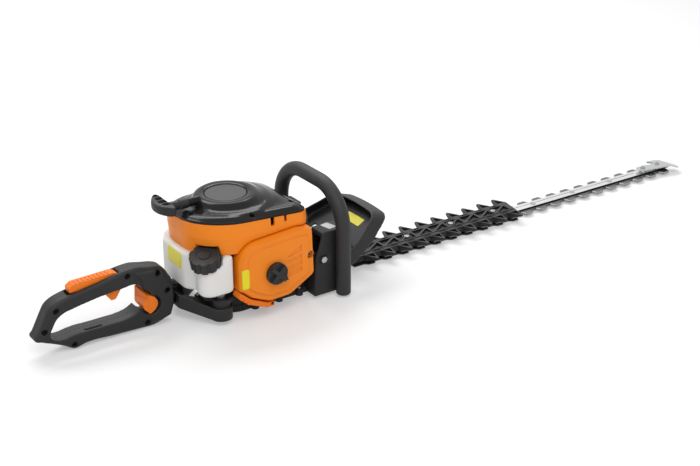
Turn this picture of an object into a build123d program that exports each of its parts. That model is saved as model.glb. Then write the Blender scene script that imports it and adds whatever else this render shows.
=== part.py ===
"""Petrol hedge trimmer with a double-sided blade, built as separate named pieces.

Millimetres, +Z up. The crank axis is the Z axis, +X runs towards the blade tip and the flat
underside of the gear case lies at Z = 0.
"""
import os
from math import acos, cos, pi, radians, sin, tan

from build123d import *

os.makedirs("parts", exist_ok=True)

# Cutting gear, stacked upwards from the lower comb
tooth_pitch = 35.0
tooth_count = 20
first_tooth_x = 278.5
blade_throw = tooth_pitch / 4
blade_t = 2.0
run_gap = 0.3
blade_w = 26.0
blade_reach = 22.5
lower_blade_z = 3.7
upper_blade_z = lower_blade_z + blade_t + run_gap
bar_z = upper_blade_z + blade_t + run_gap
bar_t = 2.4
bar_w = 19.0
bar_tail_x = 112.0
bar_nose_x = 984.0
bolt_r = 3.5
hole_gap = 0.3
bolt_pitch = 96.0
comb_bolt_x = [351.0 + bolt_pitch * i for i in range(3)]
bar_bolt_x = [comb_bolt_x[0] - bolt_pitch] + [comb_bolt_x[-1] + bolt_pitch * i for i in (1, 2, 3)]
comb_teeth = 10
comb_tip_x = first_tooth_x - tooth_pitch / 2
comb_tip_y = 41.25
comb_tail_x = 228.0
comb_nose_x = 584.0
comb_spine = 20.0
comb_top = 19.6
comb_low_z = 1.3
comb_low_y = 25.5
bolt_sink = 2.6
tip_screw_x = (919.7, 957.5)
tip_plate_t = 2.2
tip_plate_z = 15.6
tip_bend_x = 975.0
tip_drop = 9.0

# Gear train below the engine
gear_module = 1.5
pinion_teeth = 12
cam_teeth = 40
cam_x = gear_module * (pinion_teeth + cam_teeth) / 2
gear_z = 14.0
gear_h = 10.0
ecc_r = 11.0
case_floor = 3.2
case_flange = 11.0
case_roof = 28.0
case_top = 34.0
case_w = 92.0
case_nose_x = 176.0
clutch_r = 46.0
clutch_top = 58.0
wall = 3.0

# Engine
crank_r = 7.0
crankcase_r = 43.0
crankcase_top = 118.0
cyl_z = 88.0
cyl_face_x = 44.0
cyl_head_x = 98.0
fin_half = 29.0
hood_rear_x = -85.0
hood_front_x = 101.0
hood_half_w = 82.0
hood_rear_r = 70.0
hood_front_r = 20.0
hood_z = 118.0
bulge_z = 144.0
bulge = (bulge_z - hood_z) * tan(radians(5))
seam_z = 164.5
seam_tilt = 3.8
seam_roll = 5.0
dome_top = 183.5
badge_r = 37.0
rope_x = -66.0
rope_z = 182.5

# Air filter on the right-hand side, fuel tank at the rear
filter_x = 28.5
filter_z = 77.5
filter_rim = 70.0
filter_back = filter_rim - 4
filter_face = filter_rim + 27
tank_floor = 55.0
tank_half_w = 80.0
neck_x = -74.0
neck_y = 17.5 - hood_half_w
cap_r = 23.5

# Front handle and guard
loop_x = 157.0
loop_y = 91.5
loop_z = 176.5
loop_r = 12.0
loop_flat = 11.5
tower_y = loop_y - loop_flat
tower_top = 112.0

# Rear handle and its swivel
swivel_z = 36.0
seam_x = -100.6
shaft_r = 12.0
turn_gap = 0.4
grip_half = 16.0
block_half = 20.0
arm_x = -48.0
arm_y = 60.0
boss_r = 17.0
boss_foot = 8.0
boss_top = 28.0
mount_top = 34.0

seam_plane = Plane(origin=(0, 0, seam_z - hood_half_w * tan(radians(seam_roll))),
                   x_dir=(cos(radians(seam_tilt)), 0, -sin(radians(seam_tilt))),
                   z_dir=(tan(radians(seam_tilt)), tan(radians(seam_roll)), 1))

bottom = (Align.CENTER, Align.CENTER, Align.MIN)


def save(piece, name):
    piece.part.label = name
    export_step(piece.part, "parts/" + name + ".step")


# Blades: two toothed steel strips, the right-hand teeth half a pitch ahead of the left-hand ones,
# with slots for the bolts and an open yoke round the cam
def cut_blade(name, z):
    with BuildPart() as blade:
        with BuildSketch(Plane.XY.offset(z)):
            tail_x = comb_tail_x - 6
            nose_x = first_tooth_x + tooth_pitch * (tooth_count - 0.5) + 11
            with Locations(((tail_x + nose_x) / 2, 0)):
                Rectangle(nose_x - tail_x, blade_w)
            yoke_x = ecc_r + 2 * blade_throw + 2 * run_gap
            yoke_y = ecc_r + blade_throw + 2 * run_gap
            with Locations(((cam_x + tail_x) / 2 + 15, 0)):
                Rectangle(tail_x - cam_x + 2, 26)
            with Locations((cam_x, 0)):
                RectangleRounded(2 * yoke_x + 12, 2 * yoke_y + 10, 10)
                RectangleRounded(2 * yoke_x, 2 * yoke_y, 8, mode=Mode.SUBTRACT)
            for i in range(tooth_count):
                for side in (1, -1):
                    with Locations((first_tooth_x + tooth_pitch * (i + 0.25 - 0.25 * side), 0)):
                        Polygon((-11, side * (blade_w / 2 - 1)), (11, side * (blade_w / 2 - 1)),
                                (7, side * blade_reach), (-7, side * blade_reach), align=None)
            with Locations(*[(x, 0) for x in comb_bolt_x + bar_bolt_x]):
                slot_r = bolt_r + 0.5
                SlotOverall(2 * blade_throw + 2 * slot_r, 2 * slot_r, mode=Mode.SUBTRACT)
        extrude(amount=blade_t)
    save(blade, name)


cut_blade("lower_blade", lower_blade_z)
cut_blade("upper_blade", upper_blade_z)

# Guide bar: the straight steel bar that carries both blades
with BuildPart() as guide_bar:
    with BuildSketch(Plane.XY.offset(bar_z)):
        with Locations(((bar_tail_x + bar_nose_x) / 2, 0)):
            RectangleRounded(bar_nose_x - bar_tail_x, bar_w, 6)
        with Locations(*[(x, 0) for x in comb_bolt_x + bar_bolt_x]):
            Circle(bolt_r + hole_gap, mode=Mode.SUBTRACT)
        with Locations(*[(x, 0) for x in tip_screw_x]):
            Circle(2.5 + hole_gap, mode=Mode.SUBTRACT)
    extrude(amount=bar_t)
save(guide_bar, "guide_bar")


# Combs: blunt plastic fingers above and below the first half of the blade, each with one steep flank
def comb_sketch(inset, tip_x, tip_y):
    for i in range(comb_teeth):
        with Locations((comb_tip_x + tooth_pitch * i, 0)):
            for side in (1, -1):
                base_y = side * (comb_spine - 1 + inset)
                end_y = side * (tip_y - 2.6 * inset)
                Polygon((side * (inset - 6.5), base_y), (side * (14 - inset), base_y),
                        (side * tip_x, end_y), (-side * tip_x, end_y), align=None)


with BuildPart() as comb_upper:
    with BuildSketch(Plane.XY.offset(bar_z)):
        Polygon((comb_tail_x, -comb_spine), (comb_nose_x - 6, -comb_spine), (comb_nose_x + 6, comb_spine),
                (comb_tail_x, comb_spine), align=None)
        comb_sketch(0, 2.2, comb_tip_y)
        last_x = comb_tip_x + tooth_pitch * (comb_teeth - 1)
        Polygon((last_x - 12, -comb_spine), (last_x - 2.2, -comb_tip_y), (last_x + 2.2, -comb_tip_y),
                (comb_nose_x + 6, comb_spine), (last_x - 12, comb_spine), align=None)
    extrude(amount=comb_top - 1 - bar_z)
    with BuildSketch(Plane.XY.offset(comb_top - 5)):
        comb_sketch(2.2, 0.6, comb_tip_y)
    extrude(amount=6, mode=Mode.SUBTRACT)
    with BuildSketch(Plane.XY.offset(comb_top - 3)):
        for i in range(comb_teeth):
            with Locations((comb_tip_x + tooth_pitch * (i - 0.5), 0)):
                for side in (1, -1):
                    Polygon((-14, side * 17.5), (14, side * 17.5), (0, side * 13.5), align=None)
    extrude(amount=6, mode=Mode.SUBTRACT)
    for side in (1, -1):
        with BuildSketch(Plane.YZ.offset(comb_tail_x - 10)):
            Polygon((side * (comb_spine + 1), bar_z - 1), (side * (comb_tip_y + 1), bar_z - 1),
                    (side * (comb_tip_y + 1), comb_top - 4), align=None)
        extrude(amount=comb_nose_x - comb_tail_x + 30, mode=Mode.SUBTRACT)
    with BuildSketch(Plane.XY.offset(bar_z + bar_t)):
        Polygon((comb_tail_x, -12.5), (comb_nose_x - 3.75, -12.5), (comb_nose_x + 3.75, 12.5),
                (comb_tail_x, 12.5), align=None)
    extrude(amount=comb_top - bar_z - bar_t)
    with BuildSketch(Plane.XY.offset(comb_top - 4)):
        for i in range(comb_teeth - 1):
            with Locations((comb_tip_x + tooth_pitch * (i + 0.5), 0)):
                for side in (1, -1):
                    Polygon((side * -15.5, side * 10.5), (side * 13, side * 10.5),
                            (side * -15.5, side * -7.5),
                            align=None)
        with Locations(*[(x, 0) for x in comb_bolt_x]):
            Circle(8.2, mode=Mode.SUBTRACT)
    extrude(amount=6, mode=Mode.SUBTRACT)
    with Locations((comb_tail_x + 200, 0, bar_z + bar_t / 2)):
        Box(500, bar_w + 0.4, bar_t, mode=Mode.SUBTRACT)
    with Locations(*[(x, 0, comb_top - 3) for x in comb_bolt_x]):
        Cylinder(bolt_r + hole_gap, 24, mode=Mode.SUBTRACT)
    with Locations(*[(x, 0, comb_top - bolt_sink) for x in comb_bolt_x]):
        Cylinder(6.2, 20, align=bottom, mode=Mode.SUBTRACT)
    with Locations((bar_bolt_x[0], 0, bar_z + bar_t)):
        Cylinder(6, 30, align=bottom, mode=Mode.SUBTRACT)
save(comb_upper, "comb_upper")

with BuildPart() as comb_lower:
    with BuildSketch(Plane.XY.offset(comb_low_z)):
        Polygon((comb_tail_x, -comb_spine), (comb_nose_x - 6, -comb_spine), (comb_nose_x + 6, comb_spine),
                (comb_tail_x, comb_spine), align=None)
        comb_sketch(0, 6, comb_low_y)
        with Locations(*[(x, 0) for x in comb_bolt_x]):
            Circle(bolt_r + hole_gap, mode=Mode.SUBTRACT)
        with Locations((bar_bolt_x[0], 0)):
            Circle(7, mode=Mode.SUBTRACT)
    extrude(amount=lower_blade_z - run_gap - comb_low_z)
save(comb_lower, "comb_lower")

# Tip guard: steel plate raised on two pads at the end of the bar, hooked on the left, nose bent down
with BuildPart() as tip_guard:
    with BuildSketch() as tip_plate:
        Polygon((906, -10), (906, 8), (930, 8), (944, 4), (956, 7), (947.5, 17.5), (950, 20), (966, 16.5),
                (988, 4), (998, -6.5), (999.5, -14.5), (996, -22), (987, -27), (975, -21),
                (930, -13), align=None)
        fillet(tip_plate.vertices().sort_by(Axis.X)[-5:], 2.5)
        fillet(tip_plate.vertices().sort_by(Axis.X)[:2], 6)
    extrude(amount=2 * tip_plate_z)
    with BuildSketch(Plane.XZ):
        Polygon((900, tip_plate_z), (tip_bend_x, tip_plate_z), (tip_bend_x + 26, tip_plate_z - tip_drop),
                (tip_bend_x + 26, tip_plate_z - tip_drop + tip_plate_t),
                (tip_bend_x, tip_plate_z + tip_plate_t), (900, tip_plate_z + tip_plate_t), align=None)
    extrude(amount=60, both=True, mode=Mode.INTERSECT)
    with BuildSketch(Plane.XY.offset(bar_z + bar_t)):
        with Locations(*[(x, 0) for x in tip_screw_x]):
            Circle(7)
    extrude(amount=tip_plate_z - bar_z - bar_t)
    with BuildSketch(Plane.XY.offset(bar_z + bar_t)):
        with Locations(*[(x, 0) for x in tip_screw_x]):
            Circle(2.5 + hole_gap)
    extrude(amount=20, mode=Mode.SUBTRACT)
save(tip_guard, "tip_guard")

with BuildPart() as tip_screws:
    with Locations(*[(x, 0, bar_z + 0.4) for x in tip_screw_x]):
        Cylinder(2.5, tip_plate_z + tip_plate_t - bar_z - 0.4, align=bottom)
    with Locations(*[(x, 0, tip_plate_z + tip_plate_t) for x in tip_screw_x]):
        Cylinder(4.6, 2.2, align=bottom)
        Cylinder(2.0, 2.2, align=bottom, mode=Mode.SUBTRACT)
        Cylinder(2.0, 1.0, align=bottom)
save(tip_screws, "tip_screws")

# Blade bolts: comb bolts clamp both combs, the others only hold the blades under the bar
with BuildPart() as blade_bolts:
    with Locations(*[(x, 0, comb_low_z - 1) for x in comb_bolt_x]):
        Cylinder(bolt_r, comb_top - bolt_sink - comb_low_z + 1, align=bottom)
    with BuildSketch(Plane.XY.offset(comb_low_z - 1.2)):
        with Locations(*[(x, 0) for x in comb_bolt_x]):
            RegularPolygon(6.2, 6)
    extrude(amount=1.2)
    with BuildSketch(Plane.XY.offset(comb_top - bolt_sink)):
        with Locations(*[(x, 0) for x in comb_bolt_x]):
            RegularPolygon(4.9, 6)
    extrude(amount=bolt_sink + 0.4)
    with Locations(*[(x, 0, lower_blade_z - run_gap - 2.5) for x in bar_bolt_x]):
        Cylinder(5.5, 2.5, align=bottom)
    with Locations(*[(x, 0, lower_blade_z - 1) for x in bar_bolt_x]):
        Cylinder(bolt_r, bar_z + bar_t - lower_blade_z + 1, align=bottom)
    with Locations(*[(x, 0, bar_z + bar_t) for x in bar_bolt_x]):
        Cylinder(4.8, 0.9, align=bottom)
save(blade_bolts, "blade_bolts")


# Gear case: a flat floor plate and an upper casting with the clutch housing on top
def case_outline(flange):
    Circle(clutch_r + flange)
    with Locations((case_nose_x / 2, 0)):
        RectangleRounded(case_nose_x, case_w + 2 * flange, 14)
    if flange:
        with Locations(*case_screw_xy):
            Circle(6)


case_screw_xy = [(x, side * (case_w / 2 + 3.4)) for x in (18, 62, 100) for side in (1, -1)]
case_screw_xy += [(-(clutch_r + 3.4) * 0.9, side * (clutch_r + 3.4) * 0.436) for side in (1, -1)]

with BuildPart() as gearcase_lower:
    with BuildSketch():
        case_outline(1.5)
    extrude(amount=case_floor)
    with Locations(*[(x, y, 1.2) for x, y in case_screw_xy]):
        Cylinder(2.5 + hole_gap, 20, align=bottom, mode=Mode.SUBTRACT)
save(gearcase_lower, "gearcase_lower")

with BuildPart() as gearcase_upper:
    with BuildSketch(Plane.XY.offset(case_floor)):
        case_outline(1.5)
    extrude(amount=case_flange - case_floor)
    with BuildSketch(Plane.XY.offset(case_flange)):
        case_outline(0)
    extrude(amount=case_top - case_flange)
    with BuildSketch(Plane.XY.offset(case_top)):
        Circle(clutch_r)
        with Locations(*[(arm_x, side * arm_y) for side in (1, -1)]):
            Circle(15)
        for side in (1, -1):
            Polygon((-20, side * 30), (14, side * 40), (arm_x + 9, side * (arm_y + 12)),
                    (arm_x - 13, side * (arm_y - 7.5)), align=None)
    extrude(amount=8)
    with BuildSketch(Plane.XY.offset(case_top)):
        Circle(clutch_r)
    extrude(amount=clutch_top - case_top)
    with Locations((0, 0, 37)):
        Cylinder(clutch_r - wall, 40, align=bottom, mode=Mode.SUBTRACT)
    with Locations((0, 0, case_floor)):
        Cylinder(8.5, 60, align=bottom, mode=Mode.SUBTRACT)
    with BuildSketch(Plane.XY.offset(case_floor)):
        with Locations((cam_x + 1, 0)):
            RectangleRounded(102, 76, 12)
    extrude(amount=case_roof - case_floor, mode=Mode.SUBTRACT)
    with Locations((case_nose_x / 2 + 45, 0, (case_floor + bar_z + bar_t) / 2)):
        Box(100, 44, bar_z + bar_t - case_floor, mode=Mode.SUBTRACT)
    with Locations((cam_x, 0, case_roof)):
        Cylinder(6 + turn_gap, 5, align=bottom, mode=Mode.SUBTRACT)
    with Locations(*[(x, y, 0) for x, y in case_screw_xy]):
        Cylinder(2.5 + hole_gap, 2 * case_flange, mode=Mode.SUBTRACT)
    with Locations(*[(arm_x, side * arm_y, case_top) for side in (1, -1)]):
        Cylinder(3 + hole_gap, 40, mode=Mode.SUBTRACT)
save(gearcase_upper, "gearcase_upper")

with BuildPart() as gearcase_screws:
    with Locations(*[(x, y, 1.6) for x, y in case_screw_xy]):
        Cylinder(2.5, case_flange - 1.6, align=bottom)
    with BuildSketch(Plane.XY.offset(case_flange)):
        with Locations(*case_screw_xy):
            Circle(3.2)
            RegularPolygon(1.9, 6, mode=Mode.SUBTRACT)
    extrude(amount=3.4)
    with Locations(*[(x, y, case_flange) for x, y in case_screw_xy]):
        Cylinder(3.0, 1.2, align=bottom)
save(gearcase_screws, "gearcase_screws")


# Spur gears with involute flanks thinned for backlash
def gear_profile(teeth, phase):
    pitch_r = gear_module * teeth / 2
    base_r = pitch_r * cos(radians(20))
    root_r = pitch_r - 1.25 * gear_module
    tip_r = pitch_r + 0.95 * gear_module

    def roll(r):
        turn = acos(min(1.0, base_r / r))
        return tan(turn) - turn

    half = pi / (2 * teeth) - 0.16 / pitch_r
    radii = [max(base_r, root_r), (pitch_r + max(base_r, root_r)) / 2, (pitch_r + tip_r) / 2, tip_r]
    flank = [(r, half + roll(pitch_r) - roll(r)) for r in radii]
    points = []
    for i in range(teeth):
        mid = phase + 2 * pi * i / teeth
        first = flank[0][1]
        points.append((root_r * cos(mid - first * 1.1), root_r * sin(mid - first * 1.1)))
        points += [(r * cos(mid - a), r * sin(mid - a)) for r, a in flank]
        points += [(r * cos(mid + a), r * sin(mid + a)) for r, a in reversed(flank)]
        points.append((root_r * cos(mid + first * 1.1), root_r * sin(mid + first * 1.1)))
    return points


with BuildPart() as clutch_drum:
    drum_floor = 38.5
    with BuildSketch(Plane.XY.offset(gear_z - 1)):
        with BuildLine():
            Polyline(*gear_profile(pinion_teeth, 0), close=True)
        make_face()
    extrude(amount=gear_h + 2)
    with Locations((0, 0, gear_z + gear_h)):
        Cylinder(6.0, drum_floor - gear_z - gear_h, align=bottom)
    with Locations((0, 0, drum_floor)):
        Cylinder(38, 17, align=bottom)
    with Locations((0, 0, drum_floor + 2.5)):
        Cylinder(36, 20, align=bottom, mode=Mode.SUBTRACT)
    with Locations((0, 0, drum_floor)):
        with PolarLocations(22, 6):
            Cylinder(5, 10, mode=Mode.SUBTRACT)
save(clutch_drum, "clutch_drum")

with BuildPart() as cam_gear:
    with BuildSketch(Plane(origin=(cam_x, 0, gear_z))):
        with BuildLine():
            Polyline(*gear_profile(cam_teeth, pi - pi / cam_teeth), close=True)
        make_face()
        with PolarLocations(19, 6):
            Circle(5, mode=Mode.SUBTRACT)
    extrude(amount=gear_h)
    with Locations((cam_x, 0, gear_z + gear_h)):
        Cylinder(6, case_roof + 4 - gear_z - gear_h, align=bottom)
    with Locations((cam_x, 0, upper_blade_z + blade_t + run_gap)):
        Cylinder(12, gear_z - upper_blade_z - blade_t - run_gap, align=bottom)
    with Locations((cam_x, blade_throw, upper_blade_z - run_gap / 2)):
        Cylinder(ecc_r, blade_t + 1.5 * run_gap, align=bottom)
    with Locations((cam_x, -blade_throw, lower_blade_z)):
        Cylinder(ecc_r, blade_t + run_gap / 2, align=bottom)
save(cam_gear, "cam_gear")

# Clutch shoes, crankshaft and flywheel turn together
with BuildPart() as clutch_shoes:
    with BuildSketch(Plane.XY.offset(43)):
        Circle(34.5)
        Circle(20, mode=Mode.SUBTRACT)
        Rectangle(80, 6, mode=Mode.SUBTRACT)
        Rectangle(24, 42)
        Circle(crank_r, mode=Mode.SUBTRACT)
    extrude(amount=11)
save(clutch_shoes, "clutch_shoes")

with BuildPart() as crankshaft:
    with Locations((0, 0, 43)):
        Cylinder(crank_r, 102, align=bottom)
    with Locations((0, 0, 54)):
        Cylinder(crank_r + 3, 3, align=bottom)
    with Locations((0, 0, 122)):
        Cylinder(crank_r + 3, 2, align=bottom)
save(crankshaft, "crankshaft")

with BuildPart() as flywheel:
    with BuildSketch(Plane.XY.offset(124)):
        Circle(52)
        Circle(crank_r, mode=Mode.SUBTRACT)
    extrude(amount=8)
    with BuildSketch(Plane.XY.offset(132)):
        Circle(16)
        Circle(crank_r, mode=Mode.SUBTRACT)
        with PolarLocations(39, 16):
            with Locations(Rotation(0, 0, 25)):
                Rectangle(22, 2.4)
    extrude(amount=11)
save(flywheel, "flywheel")

# Crankcase: split-line drum over the gear case with the cylinder flange at the front
with BuildPart() as crankcase:
    with BuildSketch(Plane.XY.offset(clutch_top)):
        Circle(clutch_r)
    extrude(amount=4)
    with BuildSketch(Plane.XY.offset(clutch_top + 4)):
        Circle(crankcase_r)
    extrude(amount=crankcase_top - clutch_top - 4)
    with Locations((cyl_face_x / 2, 0, cyl_z)):
        Box(cyl_face_x, 62, 2 * fin_half - 4)
    with Locations((0, 0, 64)):
        Cylinder(34, 48, align=bottom, mode=Mode.SUBTRACT)
    Cylinder(crank_r + turn_gap, 400, mode=Mode.SUBTRACT)
    with Locations((cyl_face_x, 0, cyl_z)):
        Cylinder(18, 40, rotation=(0, 90, 0), mode=Mode.SUBTRACT)
save(crankcase, "crankcase")

# Cylinder: cooling fins round an aluminium barrel, intake boss on the right, exhaust on the left
with BuildPart() as cylinder:
    with BuildSketch(Plane.YZ.offset(cyl_face_x)):
        with Locations((0, cyl_z)):
            RectangleRounded(54, 50, 8)
    extrude(amount=5)
    with BuildSketch(Plane.YZ.offset(cyl_face_x + 5)):
        with Locations((0, cyl_z)):
            Circle(22)
    extrude(amount=cyl_head_x - cyl_face_x - 5)
    for i in range(7):
        with BuildSketch(Plane.YZ.offset(cyl_face_x + 9 + 7 * i)):
            with Locations((0, cyl_z)):
                RectangleRounded(60, 2 * fin_half, 10)
        extrude(amount=2.2)
    with Locations((cyl_face_x + 14, -28, cyl_z)):
        Box(22, 20, 26)
    with Locations((cyl_face_x + 26, 28, cyl_z)):
        Box(26, 20, 26)
    with Locations((cyl_face_x, 0, cyl_z)):
        Cylinder(16, 76, rotation=(0, 90, 0), mode=Mode.SUBTRACT)
    with Locations((cyl_head_x - 12, 0, cyl_z + 22)):
        Cylinder(10, 14)
save(cylinder, "cylinder")

with BuildPart() as spark_plug:
    plug_z = cyl_z + 29
    with BuildSketch(Plane.XY.offset(plug_z)):
        with Locations((cyl_head_x - 12, 0)):
            RegularPolygon(9.5, 6)
    extrude(amount=7)
    with Locations((cyl_head_x - 12, 0, plug_z + 7)):
        Cylinder(5.5, 10, align=bottom)
        Cylinder(8, 14, align=bottom)
save(spark_plug, "spark_plug")

with BuildPart() as ignition_coil:
    coil_z = hood_z + wall
    with Locations((0, 60.5, coil_z)):
        Box(34, 12, 20, align=bottom)
    with Locations((0, 54.5, coil_z + 4)):
        Box(10, 3, 9, align=bottom)
save(ignition_coil, "ignition_coil")

# Silencer box on the left with its slotted cover
with BuildPart() as muffler:
    with Locations((cyl_face_x + 18, 56, 84)):
        Box(62, 36, 54)
    fillet(muffler.edges().filter_by(Axis.Y), 8)
    with Locations((cyl_face_x + 18, 75, 66)):
        Cylinder(6, 12, rotation=(90, 0, 0))
save(muffler, "muffler")

with BuildPart() as muffler_cover:
    with BuildSketch(Plane.XZ.offset(-44)):
        with Locations((cyl_face_x + 18, 82)):
            RectangleRounded(74, 68, 12)
            RectangleRounded(68, 62, 9, mode=Mode.SUBTRACT)
    extrude(amount=-44)
    with BuildSketch(Plane.XZ.offset(-85)):
        with Locations((cyl_face_x + 18, 82)):
            RectangleRounded(74, 68, 12)
        with Locations((cyl_face_x + 18, 86)):
            with GridLocations(0, 9, 1, 5):
                SlotOverall(36, 4.4, mode=Mode.SUBTRACT)
        with Locations((cyl_face_x + 18, 66)):
            Circle(9, mode=Mode.SUBTRACT)
    extrude(amount=-3)
    with BuildSketch(Plane.XZ.offset(-74)):
        with Locations(*[(cyl_face_x + 18 + 24 * side, 84) for side in (1, -1)]):
            Circle(4)
    extrude(amount=-12)
save(muffler_cover, "muffler_cover")


# Hood outline shared by the orange shroud, the starter cover and the tank
with BuildSketch() as hood_shape:
    with Locations(((hood_rear_x + 300) / 2, 0)):
        RectangleRounded(300 - hood_rear_x, 2 * hood_half_w, hood_rear_r)
    with Locations(((hood_front_x - 300) / 2, 0)):
        RectangleRounded(hood_front_x + 300, 2 * hood_half_w, hood_front_r, mode=Mode.INTERSECT)


def hood_sketch(inset):
    add(hood_shape.sketch_local)
    if inset:
        offset(amount=-inset, mode=Mode.REPLACE)


# Air-filter outline, seen from the right-hand side
with BuildSketch() as filter_shape:
    Polygon((-31, 58), (-31, 131), (72, 138.5), (99, 135), (102, 56), (56, 30), (18, 28.5), (-12, 42),
            align=None)
    corner = filter_shape.vertices()
    fillet(corner.sort_by_distance((-31, 131))[0], 34)
    fillet(filter_shape.vertices().sort_by_distance((99, 135))[0], 7)
    fillet(filter_shape.vertices().sort_by_distance((102, 56))[0], 12)
    fillet(filter_shape.vertices().sort_by_distance((56, 30))[0], 20)
    fillet(filter_shape.vertices().sort_by_distance((18, 28.5))[0], 20)


def filter_sketch(inset):
    add(filter_shape.sketch_local)
    if inset:
        offset(amount=-inset, mode=Mode.REPLACE)


cap_plane = Plane(origin=(neck_x, neck_y, 110), x_dir=(0.94, 0, 0.25), z_dir=(-0.25, -0.21, 0.945))
cover_screw_xy = [(x, side * y) for x, y in ((-72, 22), (2, hood_half_w - 6.5), (86, hood_half_w - 30))
                  for side in (1, -1)]


def seam_height(x, y):
    return seam_z - x * tan(radians(seam_tilt)) - (y + hood_half_w) * tan(radians(seam_roll))


# Engine shroud: orange ring that carries the starter cover, with a walled pocket for the fuel cap
with BuildPart() as cap_pocket:
    with BuildSketch(Plane.XY.offset(hood_z)):
        hood_sketch(1)
    extrude(amount=80)
    with Locations(cap_plane.offset(-8)):
        Cylinder(cap_r + 4, 29.5, align=bottom, mode=Mode.INTERSECT)

with BuildPart() as engine_shroud:
    for turn, reach in ((1, 40), (-1, bulge_z - hood_z)):
        with BuildSketch(Plane(origin=(0, 0, bulge_z), x_dir=(1, 0, 0), z_dir=(0, 0, turn))):
            hood_sketch(-bulge)
        extrude(amount=reach, taper=5)
    with BuildSketch(Plane.XY.offset(hood_z)):
        hood_sketch(wall)
    extrude(amount=80, mode=Mode.SUBTRACT)
    with BuildSketch(Plane.XY.offset(hood_z)):
        hood_sketch(1)
        Circle(crankcase_r - 4, mode=Mode.SUBTRACT)
        with Locations((cyl_head_x - 12, 0)):
            Circle(12, mode=Mode.SUBTRACT)
    extrude(amount=wall)
    with BuildSketch(Plane.XY.offset(hood_z)):
        with Locations(*cover_screw_xy):
            Circle(5.5)
    extrude(amount=80)
    with BuildSketch(Plane.XY.offset(hood_z)):
        with Locations(*cover_screw_xy):
            Circle(2 + hole_gap)
    extrude(amount=80, mode=Mode.SUBTRACT)
    add(cap_pocket.part)
    split(bisect_by=seam_plane, keep=Keep.BOTTOM)
    with Locations(cap_plane.offset(-8)):
        Cylinder(cap_r + 1.5, 27, align=bottom, mode=Mode.SUBTRACT)
    with BuildSketch(Plane.XZ.offset(60)):
        filter_sketch(-1.5)
        Polygon((80, 100), (130, 100), (130, 133.5), (80, 137.5), align=None)
    extrude(amount=60, mode=Mode.SUBTRACT)
    for x, slot_foot, slot_w in ((33.5, 149, 7), (56.5, 150.5, 4.5)):
        with Locations((x, -hood_half_w, slot_foot + slot_w / 2)):
            Box(slot_w, 20, 60, align=bottom, mode=Mode.SUBTRACT)
            Cylinder(slot_w / 2, 20, rotation=(90, 0, 0), mode=Mode.SUBTRACT)
save(engine_shroud, "engine_shroud")

# Starter cover: smooth dome with a recess for the plain disc and an axle for the rope reel
with BuildPart() as starter_cover:
    with BuildSketch(seam_plane):
        hood_sketch(0.6)
    extrude(amount=2.5)
    with BuildSketch(seam_plane.offset(2.5)):
        hood_sketch(2.2)
    extrude(amount=6, taper=50)
    with BuildSketch(Plane.XZ):
        with BuildLine():
            Polyline((42, 185), (badge_r + 1, 181.3), (0, 181.3), (0, 150), (75, 150), (75, 168))
            Spline((75, 168), (71, 174), (63, 177.6), (56.5, 181.8), (50, 184.8), (42, 185),
                   tangents=((0, 1), (-1, 0)))
        make_face()
    revolve(axis=Axis.Z)
    with Locations(Plane(origin=(100, 0, 163.5), x_dir=(0.928, 0, -0.371), z_dir=(0.371, 0, 0.928))):
        Box(200, 300, 60, align=bottom, mode=Mode.SUBTRACT)
    with BuildSketch(seam_plane.offset(-5)):
        hood_sketch(5)
    extrude(amount=8, mode=Mode.SUBTRACT)
    split(bisect_by=seam_plane, keep=Keep.TOP)
    with BuildSketch(Plane.XZ):
        with BuildLine():
            Polyline((0, 140), (67, 140), (67, 171), (58, 176), (50, 178.3), (0, 178.3), close=True)
        make_face()
    revolve(axis=Axis.Z, mode=Mode.SUBTRACT)
    with Locations((rope_x, 0, rope_z)):
        Cylinder(7, 13, rotation=(0, 90, 0), align=bottom)
        Cylinder(2.6, 13, rotation=(0, 90, 0), align=bottom, mode=Mode.SUBTRACT)
    with Locations((rope_x + 11, 0, rope_z)):
        Cylinder(2.6, 12, align=(Align.CENTER, Align.CENTER, Align.MAX), mode=Mode.SUBTRACT)
    with Locations((0, 0, 147)):
        Cylinder(6.5, 33, align=bottom)
    with BuildSketch(Plane.XY.offset(140)):
        with Locations(*cover_screw_xy):
            Circle(2 + hole_gap)
    extrude(amount=60, mode=Mode.SUBTRACT)
    for x, y in cover_screw_xy:
        with Locations((x, y, seam_height(x, y) + 2.5)):
            Cylinder(4.6, 30, align=bottom, mode=Mode.SUBTRACT)
save(starter_cover, "starter_cover")

with BuildPart() as badge_disc:
    with Locations((0, 0, 181.3)):
        Cylinder(badge_r, dome_top - 181.3, align=bottom)
    chamfer(badge_disc.faces().sort_by(Axis.Z)[-1].edges(), 0.6)
save(badge_disc, "badge_disc")

with BuildPart() as cover_screws:
    for x, y in cover_screw_xy:
        with Locations((x, y, seam_height(x, y) + 2.5)):
            Cylinder(3.8, 3, align=bottom)
            Cylinder(1.6, 3, align=bottom, mode=Mode.SUBTRACT)
            Cylinder(2, 14, align=(Align.CENTER, Align.CENTER, Align.MAX))
            Cylinder(1.8, 1, align=bottom)
save(cover_screws, "cover_screws")

with BuildPart() as recoil_reel:
    with BuildSketch(Plane.XZ):
        with BuildLine():
            Polyline((6.5 + turn_gap, 149), (38, 149), (38, 151), (30, 152.5), (30, 158.5), (38, 160),
                     (38, 162), (6.5 + turn_gap, 162), close=True)
        make_face()
    revolve(axis=Axis.Z)
    with Locations((0, 0, 155)):
        with PolarLocations(18, 5):
            Cylinder(5, 30, mode=Mode.SUBTRACT)
save(recoil_reel, "recoil_reel")

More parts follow.
